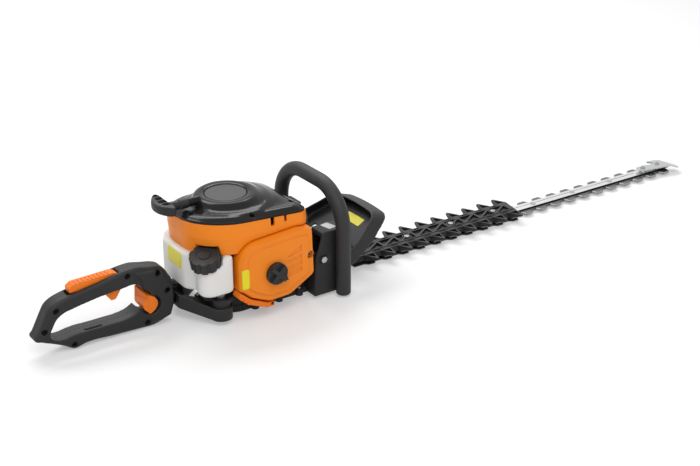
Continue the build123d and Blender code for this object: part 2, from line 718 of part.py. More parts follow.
# Pull grip: a curved cross bar on a tapered neck
with BuildPart() as starter_grip:
    with BuildLine() as grip_line:
        ThreePointArc((-114, -31, 189), (-109, 0, 184), (-114, 31, 189))
    with BuildSketch(Plane(origin=grip_line.line @ 0, z_dir=grip_line.line % 0)):
        Ellipse(11.5, 11)
    sweep()
    fillet(starter_grip.faces().sort_by(Axis.Y)[0].edges(), 6)
    fillet(starter_grip.faces().sort_by(Axis.Y)[-1].edges(), 6)
    with Locations((-107, 0, rope_z)):
        Cone(8, 6, rope_x - 0.5 + 107, rotation=(0, 90, 0), align=bottom)
        Cylinder(2.6, 60, rotation=(0, 90, 0), align=bottom, mode=Mode.SUBTRACT)
save(starter_grip, "starter_grip")

# Fuel tank: off-white blow moulding wrapped round the back of the crankcase
with BuildSketch() as tank_shape:
    Polygon((-18, -40), (-37, 16 - hood_half_w), (-60, 16 - hood_half_w), (-80, 30 - hood_half_w), (-95, -30),
            (-95, 34), (-80, hood_half_w - 24), (-60, hood_half_w - 8), (-37, hood_half_w + 1),
            (-18, hood_half_w + 1), align=None)
    fillet(tank_shape.vertices().sort_by(Axis.X)[:7], 9)
    with Locations((neck_x + 6, neck_y + 1)):
        Circle(20)
    Polygon((neck_x + 6, neck_y - 19), (-37, neck_y - 19), (-37, neck_y + 14.5), (neck_x + 6, neck_y + 14.5),
            align=None)


def tank_sketch(inset):
    add(tank_shape.sketch_local)
    if inset:
        offset(amount=-inset, mode=Mode.REPLACE)
    Circle(52 + inset, mode=Mode.SUBTRACT)


with BuildPart() as fuel_tank:
    with BuildSketch(Plane.XY.offset(tank_floor)):
        tank_sketch(0)
    extrude(amount=hood_z - tank_floor)
    chamfer(fuel_tank.faces().sort_by(Axis.Z)[0].edges(), 5)
    with Locations(cap_plane):
        with Locations((0, 0, -6)):
            Cylinder(cap_r + 2, 60, align=bottom, mode=Mode.SUBTRACT)
        with Locations((0, 0, -12)):
            Cylinder(16.5, 18, align=bottom)
    with BuildSketch(Plane.XY.offset(tank_floor + 2 * wall)):
        tank_sketch(5)
    extrude(amount=33, mode=Mode.SUBTRACT)
    with Locations(cap_plane):
        Cylinder(13, 60, mode=Mode.SUBTRACT)
save(fuel_tank, "fuel_tank")

with BuildPart() as fuel_cap:
    with BuildSketch(cap_plane.offset(-4)):
        Circle(cap_r)
        with PolarLocations(cap_r + 1.5, 10):
            Circle(3.6, mode=Mode.SUBTRACT)
    extrude(amount=19)
    with Locations(cap_plane.offset(-4)):
        Cylinder(16.5 + 0.6, 10.6, align=bottom, mode=Mode.SUBTRACT)
    with Locations(cap_plane.offset(15)):
        Cylinder(14, 1.6, mode=Mode.SUBTRACT)
        Cylinder(8.5, 1.6)
save(fuel_cap, "fuel_cap")

# Carburettor between the intake boss and the filter base
with BuildPart() as carburettor:
    intake_x = cyl_face_x + 14
    with Locations((intake_x, -52, cyl_z)):
        Box(30, 28, 32)
    with Locations((intake_x, -52, cyl_z - 16)):
        Cylinder(12, 8, align=(Align.CENTER, Align.CENTER, Align.MAX))
    with Locations((intake_x + 15, -52, cyl_z)):
        Cylinder(6, 9, rotation=(0, 90, 0), align=bottom)
    with Locations((intake_x, -52, cyl_z)):
        Cylinder(8, 60, rotation=(90, 0, 0), mode=Mode.SUBTRACT)
save(carburettor, "carburettor")

# Air filter: base plate with a lower lip, foam element, cover, knob and choke lever
choke_x = 24.0
choke_z = 24.3
with BuildPart() as filter_base:
    with BuildSketch(Plane.XZ.offset(filter_back)):
        filter_sketch(0)
        Polygon((-6, 40), (-2, 21), (12, 14), (42, 14), (58, 32), align=None)
        with Locations((cyl_face_x + 14, cyl_z)):
            Circle(8, mode=Mode.SUBTRACT)
    extrude(amount=filter_rim - filter_back)
    with BuildSketch(Plane.XZ.offset(filter_back - 8)):
        Polygon((0, 26), (13, 12), (41, 12), (50, 26), align=None)
    extrude(amount=12)
    with BuildSketch(Plane.XZ.offset(filter_rim)):
        with Locations((filter_x, filter_z)):
            Circle(5)
    extrude(amount=20)
    with BuildSketch(Plane.XZ.offset(filter_rim)):
        with Locations((choke_x, choke_z)):
            Circle(2.5)
    extrude(amount=20)
save(filter_base, "filter_base")

with BuildPart() as filter_element:
    with BuildSketch(Plane.XZ.offset(filter_rim)):
        with Locations((60, 86)):
            RectangleRounded(46, 66, 10)
    extrude(amount=16)
    with BuildSketch(Plane.XZ.offset(filter_rim + 12)):
        with Locations((60, 86)):
            with GridLocations(10, 0, 4, 1):
                Rectangle(5, 54)
    extrude(amount=10, mode=Mode.SUBTRACT)
save(filter_element, "filter_element")

with BuildPart() as filter_cover:
    with BuildSketch(Plane.XZ.offset(filter_rim)):
        filter_sketch(0)
    extrude(amount=filter_face - filter_rim - 9)
    with BuildSketch(Plane.XZ.offset(filter_face - 9)):
        filter_sketch(0)
    extrude(amount=7, taper=25)
    with BuildSketch(Plane.XZ.offset(filter_face - 9)):
        filter_sketch(9)
    extrude(amount=9, taper=20)
    with BuildSketch(Plane.XZ.offset(filter_rim)):
        filter_sketch(2.5)
    extrude(amount=filter_face - filter_rim - 10, mode=Mode.SUBTRACT)
    with BuildSketch(Plane.XZ.offset(filter_rim)):
        filter_sketch(9)
    extrude(amount=filter_face - filter_rim - 4, mode=Mode.SUBTRACT)
    with BuildSketch(Plane.XZ.offset(filter_face - 1.4)):
        for i in range(3):
            rib_z = 64 + 10.5 * i
            Polygon((50, rib_z), (76, rib_z + 5), (76, rib_z + 11), (50, rib_z + 6), align=None)
        Polygon((50, 97), (76, 102), (76, 112), align=None)
    extrude(amount=3, mode=Mode.SUBTRACT)
    with Locations((filter_x, 0, filter_z)):
        Cylinder(5.8, 400, rotation=(90, 0, 0), mode=Mode.SUBTRACT)
    with Locations((92.5, -filter_rim, 90)):
        Cylinder(8, 22, rotation=(90, 0, 0), align=bottom)
        Cylinder(2.6, 100, rotation=(90, 0, 0), align=bottom, mode=Mode.SUBTRACT)
    with Locations((92.5, -filter_face + 9, 90)):
        Cylinder(6.2, 60, rotation=(90, 0, 0), align=bottom, mode=Mode.SUBTRACT)
save(filter_cover, "filter_cover")

with BuildPart() as filter_screw:
    with Locations((92.5, -filter_face + 9, 90)):
        Cylinder(4.2, 4, rotation=(90, 0, 0), align=bottom)
        Cylinder(2, 4, rotation=(90, 0, 0), align=bottom, mode=Mode.SUBTRACT)
        Cylinder(2.3, 14, rotation=(90, 0, 0), align=(Align.CENTER, Align.CENTER, Align.MAX))
        Cylinder(2.2, 1.4, rotation=(90, 0, 0), align=bottom)
save(filter_screw, "filter_screw")

with BuildPart() as filter_knob:
    knob_y = filter_face + 0.5
    with BuildSketch(Plane.XZ.offset(knob_y)):
        with Locations((filter_x, filter_z)):
            Circle(17.5)
        Polygon((filter_x + 12, filter_z - 14), (filter_x + 19, filter_z - 15),
                (filter_x + 16, filter_z - 6),
                align=None)
    extrude(amount=6)
    with BuildSketch(Plane.XZ.offset(knob_y + 6)):
        with Locations((filter_x, filter_z)):
            with Locations(Rotation(0, 0, 45)):
                Rectangle(33, 6)
            with Locations(Rotation(0, 0, -45)):
                Rectangle(33, 6)
    extrude(amount=5)
    with Locations((filter_x, -knob_y, filter_z)):
        Cylinder(4.8, 7, rotation=(-90, 0, 0), align=bottom)
save(filter_knob, "filter_knob")

with BuildPart() as choke_lever:
    with BuildSketch(Plane.XZ.offset(filter_rim + 3)):
        Polygon((-31, 56.4), (-13, 40.8), (17, 27.3), (27, 27.4), (27, 20.5), (14, 20.5), (-18, 34),
                (-35, 48.5), align=None)
        with Locations((choke_x, choke_z)):
            Circle(2.5 + turn_gap, mode=Mode.SUBTRACT)
    extrude(amount=20)
    with BuildSketch(Plane.XZ.offset(filter_rim + 3)):
        for i in range(3):
            with Locations((-31 + 6 * i, 47.5 - 5 * i)):
                with Locations(Rotation(0, 0, -40)):
                    Rectangle(2.4, 5)
    extrude(amount=22)
save(choke_lever, "choke_lever")

# Front plate over the cylinder fins with outlet slots
with BuildPart() as cylinder_cover:
    with BuildSketch(Plane.YZ.offset(104)):
        with Locations((0, 98)):
            RectangleRounded(104, 100, 14)
        with Locations((0, 132)):
            RectangleRounded(132, 32, 12)
        with Locations((0, 90)):
            with GridLocations(0, 10, 1, 6):
                SlotOverall(70, 5, mode=Mode.SUBTRACT)
    extrude(amount=4)
    with Locations((cyl_head_x, 16, cyl_z + 5), (cyl_head_x, -16, cyl_z + 5)):
        Cylinder(4, 7, rotation=(0, 90, 0), align=bottom)
save(cylinder_cover, "cylinder_cover")

# Front handle: bent tube with flats where it seats on the guard
with BuildPart() as front_handle:
    loop_plane = Plane(origin=(loop_x, 0, 0), x_dir=(0, 1, 0), z_dir=(1, 0, 0))
    with BuildLine(loop_plane) as loop_line:
        FilletPolyline((-loop_y, 3), (-loop_y, loop_z), (loop_y, loop_z), (loop_y, 3), radius=66)
    with BuildSketch(Plane(origin=loop_line.line @ 0, z_dir=loop_line.line % 0)):
        Circle(loop_r)
    sweep()
    fillet(front_handle.faces().filter_by(Axis.Z).edges(), 4)
    with Locations((loop_x, 0, tower_top / 2)):
        Box(40, 2 * tower_y, tower_top + 4, mode=Mode.SUBTRACT)
save(front_handle, "front_handle")

# Hand guard: sloping panel with a turned-back rim on two hollow towers
with BuildSketch() as guard_shape:
    Polygon((-tower_y, 1), (-tower_y - 8, 14), (-82, 62), (-58, 116), (58, 116), (82, 62),
            (tower_y + 8, 14), (tower_y, 1), align=None)
    fillet(guard_shape.vertices().sort_by(Axis.Y)[-2:], 24)
    fillet(guard_shape.vertices().filter_by(lambda v: abs(v.Y - 62) < 1), 40)

with BuildPart() as hand_guard:
    for side in (1, -1):
        with BuildSketch(Plane.XZ.offset(side * tower_y)):
            Polygon((110, 4), (168, 4), (168, tower_top), (126, tower_top), (113, 72), align=None)
        extrude(amount=-side * (tower_y - case_w / 2))
    with BuildSketch(Plane.XY.offset(-10)):
        for side in (1, -1):
            with Locations((139, side * (tower_y + case_w / 2) / 2)):
                Rectangle(46, tower_y - case_w / 2 - 8)
    extrude(amount=tower_top + 2, mode=Mode.SUBTRACT)
    slope = radians(31)
    panel_plane = Plane(origin=(168, 0, 38.6), x_dir=(0, -1, 0), z_dir=(-sin(slope), 0, cos(slope)))
    rim_dir = (-0.951, 0, 0.308)
    with BuildSketch(panel_plane) as panel_shape:
        add(guard_shape.sketch_local)
        with Locations((0, 19.5)):
            Rectangle(112, 39, mode=Mode.SUBTRACT)
    extrude(amount=4.5, dir=rim_dir)
    with BuildSketch(panel_plane) as rim_shape:
        add(guard_shape.sketch_local)
        offset(amount=-4, mode=Mode.SUBTRACT)
        Polygon((-79, -9), (-79, 16), (79, 16), (79, -9), align=None, mode=Mode.SUBTRACT)
    extrude(amount=30, dir=rim_dir)
    for side in (1, -1):
        with Locations((loop_x, side * (loop_y + 10), 60)):
            Box(2 * loop_r + 4, 2 * (loop_y + 10 - tower_y), 200, mode=Mode.SUBTRACT)
    with Locations((case_nose_x / 2, 0, 0)):
        Box(case_nose_x + 20, case_w + 14.1, 2 * case_flange, mode=Mode.SUBTRACT)
    for side in (1, -1):
        with BuildSketch(Plane.XZ.offset(side * tower_y)):
            with Locations((128, 66)):
                SlotOverall(22, 14)
        extrude(amount=-side * 2.5, mode=Mode.SUBTRACT)
save(hand_guard, "hand_guard")

with BuildPart() as guard_bolts:
    for side in (1, -1):
        seat = Plane(origin=(128, -side * (tower_y - 2.5), 66), x_dir=(1, 0, 0), z_dir=(0, -side, 0))
        with BuildSketch(seat):
            RegularPolygon(5.6, 6)
        extrude(amount=4)
save(guard_bolts, "guard_bolts")

# Handle bracket: round flange for the swivel with two arms to the rubber mounts
with BuildPart() as handle_bracket:
    with BuildSketch(Plane.YZ.offset(seam_x)):
        with Locations((0, swivel_z)):
            Circle(22.5)
    extrude(amount=9)
    with BuildSketch(Plane.XY.offset(boss_foot)):
        for side in (1, -1):
            Polygon((seam_x, side * 4), (seam_x, side * 22), (-60, side * 72), (-40, side * 46),
                    (seam_x + 12, side * 4), align=None)
        Polygon((seam_x + 1, -20), (seam_x + 16, -20), (seam_x + 16, 20), (seam_x + 1, 20), align=None)
    extrude(amount=38)
    with Locations(Plane(origin=(-62, 0, boss_top), x_dir=(0.91, 0, -0.414), z_dir=(0.414, 0, 0.91))):
        Box(200, 300, 60, align=bottom, mode=Mode.SUBTRACT)
    with Locations(Plane(origin=(-62, 0, boss_foot), x_dir=(0.94, 0, -0.342), z_dir=(-0.342, 0, -0.94))):
        Box(200, 300, 60, align=bottom, mode=Mode.SUBTRACT)
    with BuildSketch(Plane.XY.offset(boss_foot)):
        with Locations(*[(arm_x, side * arm_y) for side in (1, -1)]):
            Circle(boss_r)
    extrude(amount=boss_top - boss_foot)
    with Locations((0, 0, boss_top)):
        with Locations(*[(arm_x, side * arm_y) for side in (1, -1)]):
            Cylinder(boss_r, 40, align=bottom, mode=Mode.SUBTRACT)
    with Locations(*[(arm_x, side * arm_y, boss_foot) for side in (1, -1)]):
        Cylinder(8, 5, align=bottom, mode=Mode.SUBTRACT)
        Cylinder(3 + hole_gap, 40, align=bottom, mode=Mode.SUBTRACT)
    with Locations((seam_x, 0, swivel_z)):
        Cylinder(shaft_r + hole_gap, 60, rotation=(0, 90, 0), mode=Mode.SUBTRACT)
    with Locations((seam_x + 9, 0, swivel_z)):
        Cylinder(18, 40, rotation=(0, 90, 0), align=bottom, mode=Mode.SUBTRACT)
save(handle_bracket, "handle_bracket")

with BuildPart() as av_mounts:
    with Locations(*[(arm_x, side * arm_y, boss_top) for side in (1, -1)]):
        Cylinder(11, mount_top - boss_top, align=bottom)
        Cylinder(14, 3, align=bottom)
    with Locations(*[(arm_x, side * arm_y, mount_top - 3) for side in (1, -1)]):
        Cylinder(14, 3, align=bottom)
    with Locations(*[(arm_x, side * arm_y, boss_top) for side in (1, -1)]):
        Cylinder(3 + hole_gap, 60, mode=Mode.SUBTRACT)
save(av_mounts, "av_mounts")

with BuildPart() as bracket_bolts:
    with Locations(*[(arm_x, side * arm_y, boss_foot + 0.6) for side in (1, -1)]):
        Cylinder(6, 4.4, align=bottom)
    with Locations(*[(arm_x, side * arm_y, boss_foot + 5) for side in (1, -1)]):
        Cylinder(3, case_top + 3 - boss_foot, align=bottom)
    with BuildSketch(Plane.XY.offset(case_top + 8)):
        with Locations(*[(arm_x, side * arm_y) for side in (1, -1)]):
            RegularPolygon(6, 6)
    extrude(amount=5)
save(bracket_bolts, "bracket_bolts")

with BuildPart() as swivel_shaft:
    with Locations((seam_x - 21.4, 0, swivel_z)):
        Cylinder(shaft_r, 30.4 + 3, rotation=(0, 90, 0), align=bottom)
        Cylinder(17, 4, rotation=(0, 90, 0), align=bottom)
    with Locations((seam_x + 9, 0, swivel_z)):
        Cylinder(17, 3, rotation=(0, 90, 0), align=bottom)
    with Locations((seam_x, 0, swivel_z)):
        Cylinder(7, 100, rotation=(0, 90, 0), mode=Mode.SUBTRACT)
save(swivel_shaft, "swivel_shaft")

# Rear handle: two moulded halves with pockets for the levers
handle_screw_xz = [(-179.7, 95.6), (-131, 88.6), (-117, 57), (-152, 10), (-296, 71), (-316, 42.5),
                   (-272, 9)]
trigger_x = -186.0
trigger_z = 87.0
press_x = -199.0
press_z = 95.0
lock_x = -147.0
lock_z = 41.0
lock_r = 13.4
lock_travel = 5.0
with BuildPart() as handle_right:
    with BuildSketch(Plane.XZ) as grip_shape:
        with BuildLine():
            Polyline((-331, 37), (-324.5, 44), (-301, 88), (-192, 97), (-174, 107.5), (-138, 110.5),
                     (-103, 51), (-104, 42), (-110.5, 13), (-128, 8), (-150, 3.6), (-200, 5), (-250, 4),
                     (-265, 0.2), (-292, 14), (-326, 32), close=True)
        make_face()
        fillet(grip_shape.vertices().sort_by_distance((-301, 0, 88))[0], 26)
        fillet(grip_shape.vertices().sort_by_distance((-192, 0, 97))[0], 30)
    extrude(amount=grip_half)
    rim = handle_right.faces().sort_by(Axis.Y)[0].edges()
    fillet(rim.filter_by(lambda e: e.center().Z > 40 and e.center().X < -180), 11)
    with BuildSketch(Plane.XZ) as hand_gap:
        with BuildLine():
            Polyline((-162, 79), (-210, 75.3), (-280, 65), (-297, 57), (-308, 37), (-302, 26.5),
                     (-187, 27), (-162, 38), close=True)
        make_face()
        fillet(hand_gap.vertices(), 6)
    extrude(amount=grip_half, mode=Mode.SUBTRACT)
    with BuildSketch(Plane.XZ.offset(grip_half)):
        add(hand_gap.sketch_local)
        offset(amount=4.5, mode=Mode.REPLACE)
    extrude(amount=-5, taper=41, mode=Mode.SUBTRACT)
    with BuildSketch(Plane.XZ.offset(grip_half)):
        Polygon((-176, 105), (-140, 107.5), (-124, 84), (-118, 66), (-129.5, 42), (-146, 7), (-152, 28),
                (-158, 80), align=None)
    extrude(amount=block_half - grip_half, taper=45)
    with BuildSketch(Plane.XZ):
        with Locations((lock_x - lock_travel / 2, lock_z)):
            SlotCenterToCenter(lock_travel, 2 * lock_r + 1.6)
        Polygon((-172 - lock_travel, 78.5), (-162, 78.5), (-138.8, 55), (-136, 28),
                (-150.5 - lock_travel, 26),
                (-172 - lock_travel, 61), align=None)
    extrude(amount=60, mode=Mode.SUBTRACT)
    with BuildSketch(Plane.XZ):
        Polygon((-273, 125), (-273, 82), (-222, 79), (-222, 60), (-172, 66), (-172, 94), (-190, 99),
                (-190, 128), align=None)
    extrude(amount=8.5, mode=Mode.SUBTRACT)
    with BuildSketch(Plane.XZ):
        Polygon((-127, 66), (-124, 72), (-141, 99), (-164, 99), (-164, 86), (-142, 80), align=None)
        with Locations(handle_screw_xz[1]):
            Circle(6, mode=Mode.SUBTRACT)
    extrude(amount=grip_half - 2, mode=Mode.SUBTRACT)
    for x, z, r in ((trigger_x, trigger_z, 2.5), (press_x, press_z, 2.0)):
        with BuildSketch(Plane.XZ):
            with Locations((x, z)):
                Circle(r)
        extrude(amount=10)
    with Locations((seam_x, 0, swivel_z)):
        Cylinder(shaft_r + turn_gap, 60, rotation=(0, 90, 0), mode=Mode.SUBTRACT)
    with Locations((seam_x - 22, 0, swivel_z)):
        Cylinder(17 + turn_gap, 5.2, rotation=(0, 90, 0), align=bottom, mode=Mode.SUBTRACT)
    with BuildSketch(Plane.XZ):
        with Locations(*handle_screw_xz):
            Circle(1.8 + hole_gap)
    extrude(amount=60, mode=Mode.SUBTRACT)
    with BuildSketch(Plane.XZ.offset(11)):
        with Locations(*handle_screw_xz):
            Circle(4.4)
    extrude(amount=60, mode=Mode.SUBTRACT)
save(handle_right, "handle_right")

with BuildPart() as handle_left:
    add(mirror(handle_right.part, about=Plane.XZ))
save(handle_left, "handle_left")

with BuildPart() as handle_screws:
    with BuildSketch(Plane.XZ.offset(-8)):
        with Locations(*handle_screw_xz):
            Circle(1.8)
    extrude(amount=19)
    with BuildSketch(Plane.XZ.offset(11)):
        with Locations(*handle_screw_xz):
            Circle(3.6)
            RegularPolygon(1.7, 6, mode=Mode.SUBTRACT)
    extrude(amount=3)
    with BuildSketch(Plane.XZ.offset(11)):
        with Locations(*handle_screw_xz):
            Circle(2.6)
    extrude(amount=1)
save(handle_screws, "handle_screws")

# Levers in the rear handle
with BuildPart() as throttle_trigger:
    with BuildSketch(Plane.XZ.offset(-7.5)):
        Polygon((-177, 91), (-190, 92), (-197, 87), (-217, 79), (-214, 72), (-205, 60), (-198, 60),
                (-188, 75), (-177, 79), align=None)
        with Locations((trigger_x, trigger_z)):
            Circle(2.5 + turn_gap, mode=Mode.SUBTRACT)
    extrude(amount=15)
save(throttle_trigger, "throttle_trigger")

with BuildPart() as throttle_lock:
    with BuildSketch(Plane.XZ.offset(-7.8)):
        Polygon((-270, 90.5), (-270, 97.5), (-263, 102.5), (-200, 104.5), (-192, 101.5), (-194, 92),
                (-204, 90.5), align=None)
        with Locations((press_x, press_z)):
            Circle(2 + turn_gap, mode=Mode.SUBTRACT)
    extrude(amount=15.6)
    with BuildSketch(Plane.XZ.offset(-6)):
        for i in range(9):
            with Locations((-258 + 6.4 * i, 102.8 + 0.2 * i)):
                Rectangle(2.4, 1.8)
    extrude(amount=12)
save(throttle_lock, "throttle_lock")

with BuildPart() as rotation_lock:
    with BuildSketch(Plane.XZ.offset(-block_half + 2)):
        with Locations((lock_x, lock_z)):
            Circle(lock_r)
        Polygon((-169.5, 76.5), (-163.5, 76.5), (-140, 54), (-137, 30), (-149, 28), (-171, 61), align=None)
    extrude(amount=2 * block_half - 4)
    with BuildSketch(Plane.XZ.offset(-60)):
        Polygon((-137.5, 70), (-120, 70), (-120, 20), (-137.5, 20), align=None)
    extrude(amount=120, mode=Mode.SUBTRACT)
save(rotation_lock, "rotation_lock")
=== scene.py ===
import math

import bmesh
import bpy
from mathutils import Matrix, Vector
from mathutils.bvhtree import BVHTree


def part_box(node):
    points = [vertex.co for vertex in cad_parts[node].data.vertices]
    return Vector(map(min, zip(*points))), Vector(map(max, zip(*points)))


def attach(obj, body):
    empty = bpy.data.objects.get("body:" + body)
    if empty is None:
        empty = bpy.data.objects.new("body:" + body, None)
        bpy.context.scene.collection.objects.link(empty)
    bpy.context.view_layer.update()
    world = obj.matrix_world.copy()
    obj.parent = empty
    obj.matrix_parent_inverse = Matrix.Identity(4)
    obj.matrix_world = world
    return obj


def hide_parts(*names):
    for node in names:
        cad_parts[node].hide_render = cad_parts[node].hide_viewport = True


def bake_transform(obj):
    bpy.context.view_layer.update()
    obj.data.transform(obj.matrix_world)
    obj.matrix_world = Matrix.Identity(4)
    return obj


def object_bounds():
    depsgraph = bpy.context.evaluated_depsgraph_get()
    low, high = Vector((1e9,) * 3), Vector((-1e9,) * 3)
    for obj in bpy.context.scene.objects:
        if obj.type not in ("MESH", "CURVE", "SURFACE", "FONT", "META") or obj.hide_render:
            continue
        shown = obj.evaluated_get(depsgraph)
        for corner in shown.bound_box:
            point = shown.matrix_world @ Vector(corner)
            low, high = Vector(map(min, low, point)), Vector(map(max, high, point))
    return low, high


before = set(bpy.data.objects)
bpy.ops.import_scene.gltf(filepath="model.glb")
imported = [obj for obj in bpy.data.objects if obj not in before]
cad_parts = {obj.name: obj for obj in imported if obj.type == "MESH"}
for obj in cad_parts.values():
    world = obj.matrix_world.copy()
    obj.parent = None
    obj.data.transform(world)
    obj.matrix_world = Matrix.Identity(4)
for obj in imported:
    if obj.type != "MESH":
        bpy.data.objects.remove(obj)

cad_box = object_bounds()

# Studio: the tool lies on a plain white sweep under two large soft boxes.
# The sweep shows white where no shadow falls on it.
scene = bpy.context.scene
scene.view_settings.view_transform = "Standard"


class Shade:
    """A socket of a shader tree: sums add Math nodes, node() adds any other node."""

    def __init__(self, tree, socket=None):
        self.tree = tree
        self.socket = socket

    def node(self, kind, settings, sockets, output=0):
        made = self.tree.nodes.new(kind)
        for name, value in settings.items():
            setattr(made, name, value)
        for name, value in sockets.items():
            if isinstance(value, Shade):
                self.tree.links.new(value.socket, made.inputs[name])
            else:
                made.inputs[name].default_value = value
        return Shade(self.tree, made.outputs[output])

    def maths(self, operation, first, second):
        return self.node("ShaderNodeMath", {"operation": operation}, {0: first, 1: second})

    def mix(self, factor, low, high):
        """Two colours mixed: inputs 0, 6 and 7 of a colour Mix node, whose result is output 2."""
        return self.node("ShaderNodeMix", {"data_type": "RGBA"}, {0: factor, 6: low, 7: high}, 2)

    def __add__(self, other):
        return self.maths("ADD", self, other)

    def __rsub__(self, other):
        return self.maths("SUBTRACT", other, self)

    def __mul__(self, other):
        return self.maths("MULTIPLY", self, other)

    __radd__ = __add__
    __rmul__ = __mul__


def shown(name, data):
    """Puts a mesh, lamp, camera or curve in the scene and gives its object."""
    made = bpy.data.objects.new(name, data)
    scene.collection.objects.link(made)
    return made


def direct_rays(shade):
    """1 on rays from the camera, off shiny faces and through clear ones, 0 on scattered light."""
    from_camera, off_gloss, through_clear = (
        shade.node("ShaderNodeLightPath", {}, {}, f"Is {kind} Ray")
        for kind in ("Camera", "Glossy", "Transmission"))
    return from_camera + off_gloss + through_clear


floor_half, floor_gap, floor_glow = 6.0, 0.0003, 0.34
floor_mesh = bpy.data.meshes.new("floor")
floor_mesh.from_pydata([(x * floor_half, y * floor_half, cad_box[0].z - floor_gap)
                        for x, y in ((-1, -1), (1, -1), (1, 1), (-1, 1))], [], [(0, 1, 2, 3)])
floor = shown("floor", floor_mesh)
sweep_white = bpy.data.materials.new("sweep_white")
sweep_white.use_nodes = True
sweep_tree = sweep_white.node_tree
sweep_tree.nodes.remove(sweep_tree.nodes["Principled BSDF"])
sweep = Shade(sweep_tree)
seen = direct_rays(sweep)
paper = sweep.node("ShaderNodeBsdfDiffuse", {}, {"Color": (0.9, 0.9, 0.9, 1)})
glow = sweep.node("ShaderNodeEmission", {}, {"Color": (1, 1, 1, 1), "Strength": 1.0})
lit_paper = sweep.node("ShaderNodeMixShader", {}, {0: seen * floor_glow, 1: paper, 2: glow})
sweep_tree.links.new(lit_paper.socket, sweep_tree.nodes["Material Output"].inputs["Surface"])
floor_mesh.materials.append(sweep_white)

sky_light, sky_seen_extra = 0.5, 0.5
world = bpy.data.worlds.new("studio")
scene.world = world
world.use_nodes = True
backdrop = world.node_tree.nodes["Background"]
backdrop.inputs["Color"].default_value = (1, 1, 1, 1)
sky_strength = sky_light + direct_rays(Shade(world.node_tree)) * sky_seen_extra
world.node_tree.links.new(sky_strength.socket, backdrop.inputs["Strength"])


def soft_box(name, place, aim, size, power):
    lamp = bpy.data.lights.new(name, "AREA")
    lamp.shape = "RECTANGLE"
    lamp.size, lamp.size_y = size
    lamp.energy = power
    holder = shown(name, lamp)
    holder.location = place
    holder.rotation_euler = (Vector(aim) - Vector(place)).to_track_quat("-Z", "Y").to_euler()


soft_box("key_box", (-0.6, -1.5, 2.2), (0.1, 0, 0.05), (2.2, 1.4), 29)
soft_box("rim_box", (0.5, 1.5, 2.2), (0.3, 0, 0.0), (2.6, 1.0), 52)

camera_data = bpy.data.cameras.new("camera")
camera_data.lens = 71.2
camera_data.sensor_width = 36.0
camera = shown("camera", camera_data)
turn, rise = math.radians(-34.61), math.radians(24.28)
towards_camera = Vector((math.sin(turn) * math.cos(rise), -math.cos(turn) * math.cos(rise),
                         math.sin(rise)))
camera.location = (-0.9587, -1.7266, 1.0018)
camera.rotation_euler = (-towards_camera).to_track_quat("-Z", "Y").to_euler()
scene.camera = camera


# Gear case: two black-painted aluminium castings screwed together round the gear train.
# The paint shows the sand texture of the casting and is rubbed at the edges.
def tones(colour, drift):
    """A darker and a lighter tone of a colour."""
    return [c * (1 - drift) for c in colour] + [1], [min(1.0, c * (1 + drift)) for c in colour] + [1]


def grained(name, colour, rough, grain_mm, depth_mm, edge=0.25, drift=0.12, round_mm=0.7,
            constants=()):
    """Moulded or cast surface with rounded edges, a fine grain and a slight drift of tone."""
    material = bpy.data.materials.new(name)
    material.use_nodes = True
    tree = material.node_tree
    shader = tree.nodes["Principled BSDF"]
    shader.inputs["Specular IOR Level"].default_value = 0.3
    for socket, value in constants:
        shader.inputs[socket].default_value = value
    place = Shade(tree).node("ShaderNodeTexCoord", {}, {}, "Object")
    cloud = place.node("ShaderNodeTexNoise", {}, {"Vector": place, "Scale": 22.0, "Detail": 4.0})
    grain = place.node("ShaderNodeTexNoise", {},
                       {"Vector": place, "Scale": 1000 / grain_mm, "Detail": 2.0})
    rounded = place.node("ShaderNodeBevel", {"samples": 6}, {"Radius": round_mm / 1000})
    facing = place.node("ShaderNodeNewGeometry", {}, {}, "Normal")
    flat = place.node("ShaderNodeVectorMath", {"operation": "DOT_PRODUCT"},
                      {0: rounded, 1: facing}, "Value")
    rub = place.node("ShaderNodeMapRange", {"clamp": True},
                     {"Value": (1 - flat) * cloud, "From Min": 0.01, "From Max": 0.12, "To Max": edge})
    worn = [c + (1 - c) * 0.35 for c in colour] + [1]
    rubbed = place.mix(rub, place.mix(cloud, *tones(colour, drift)), worn)
    sheen = rough - 0.06 + 0.08 * cloud + 0.06 * grain
    bump = place.node("ShaderNodeBump", {}, {"Strength": 0.5, "Distance": depth_mm / 1000,
                                             "Height": grain, "Normal": rounded})
    tree.links.new(rubbed.socket, shader.inputs["Base Color"])
    tree.links.new(sheen.socket, shader.inputs["Roughness"])
    tree.links.new(bump.socket, shader.inputs["Normal"])
    return material


def dress(material, slot_nodes):
    """Gives CAD nodes their finish."""
    for node in slot_nodes:
        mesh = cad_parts[node].data
        mesh.materials.clear()
        mesh.materials.append(material)


dress(grained("case_paint", (0.018, 0.018, 0.019), 0.5, 0.9, 0.25, edge=0.2),
      ["gearcase_lower", "gearcase_upper", "crankcase"])


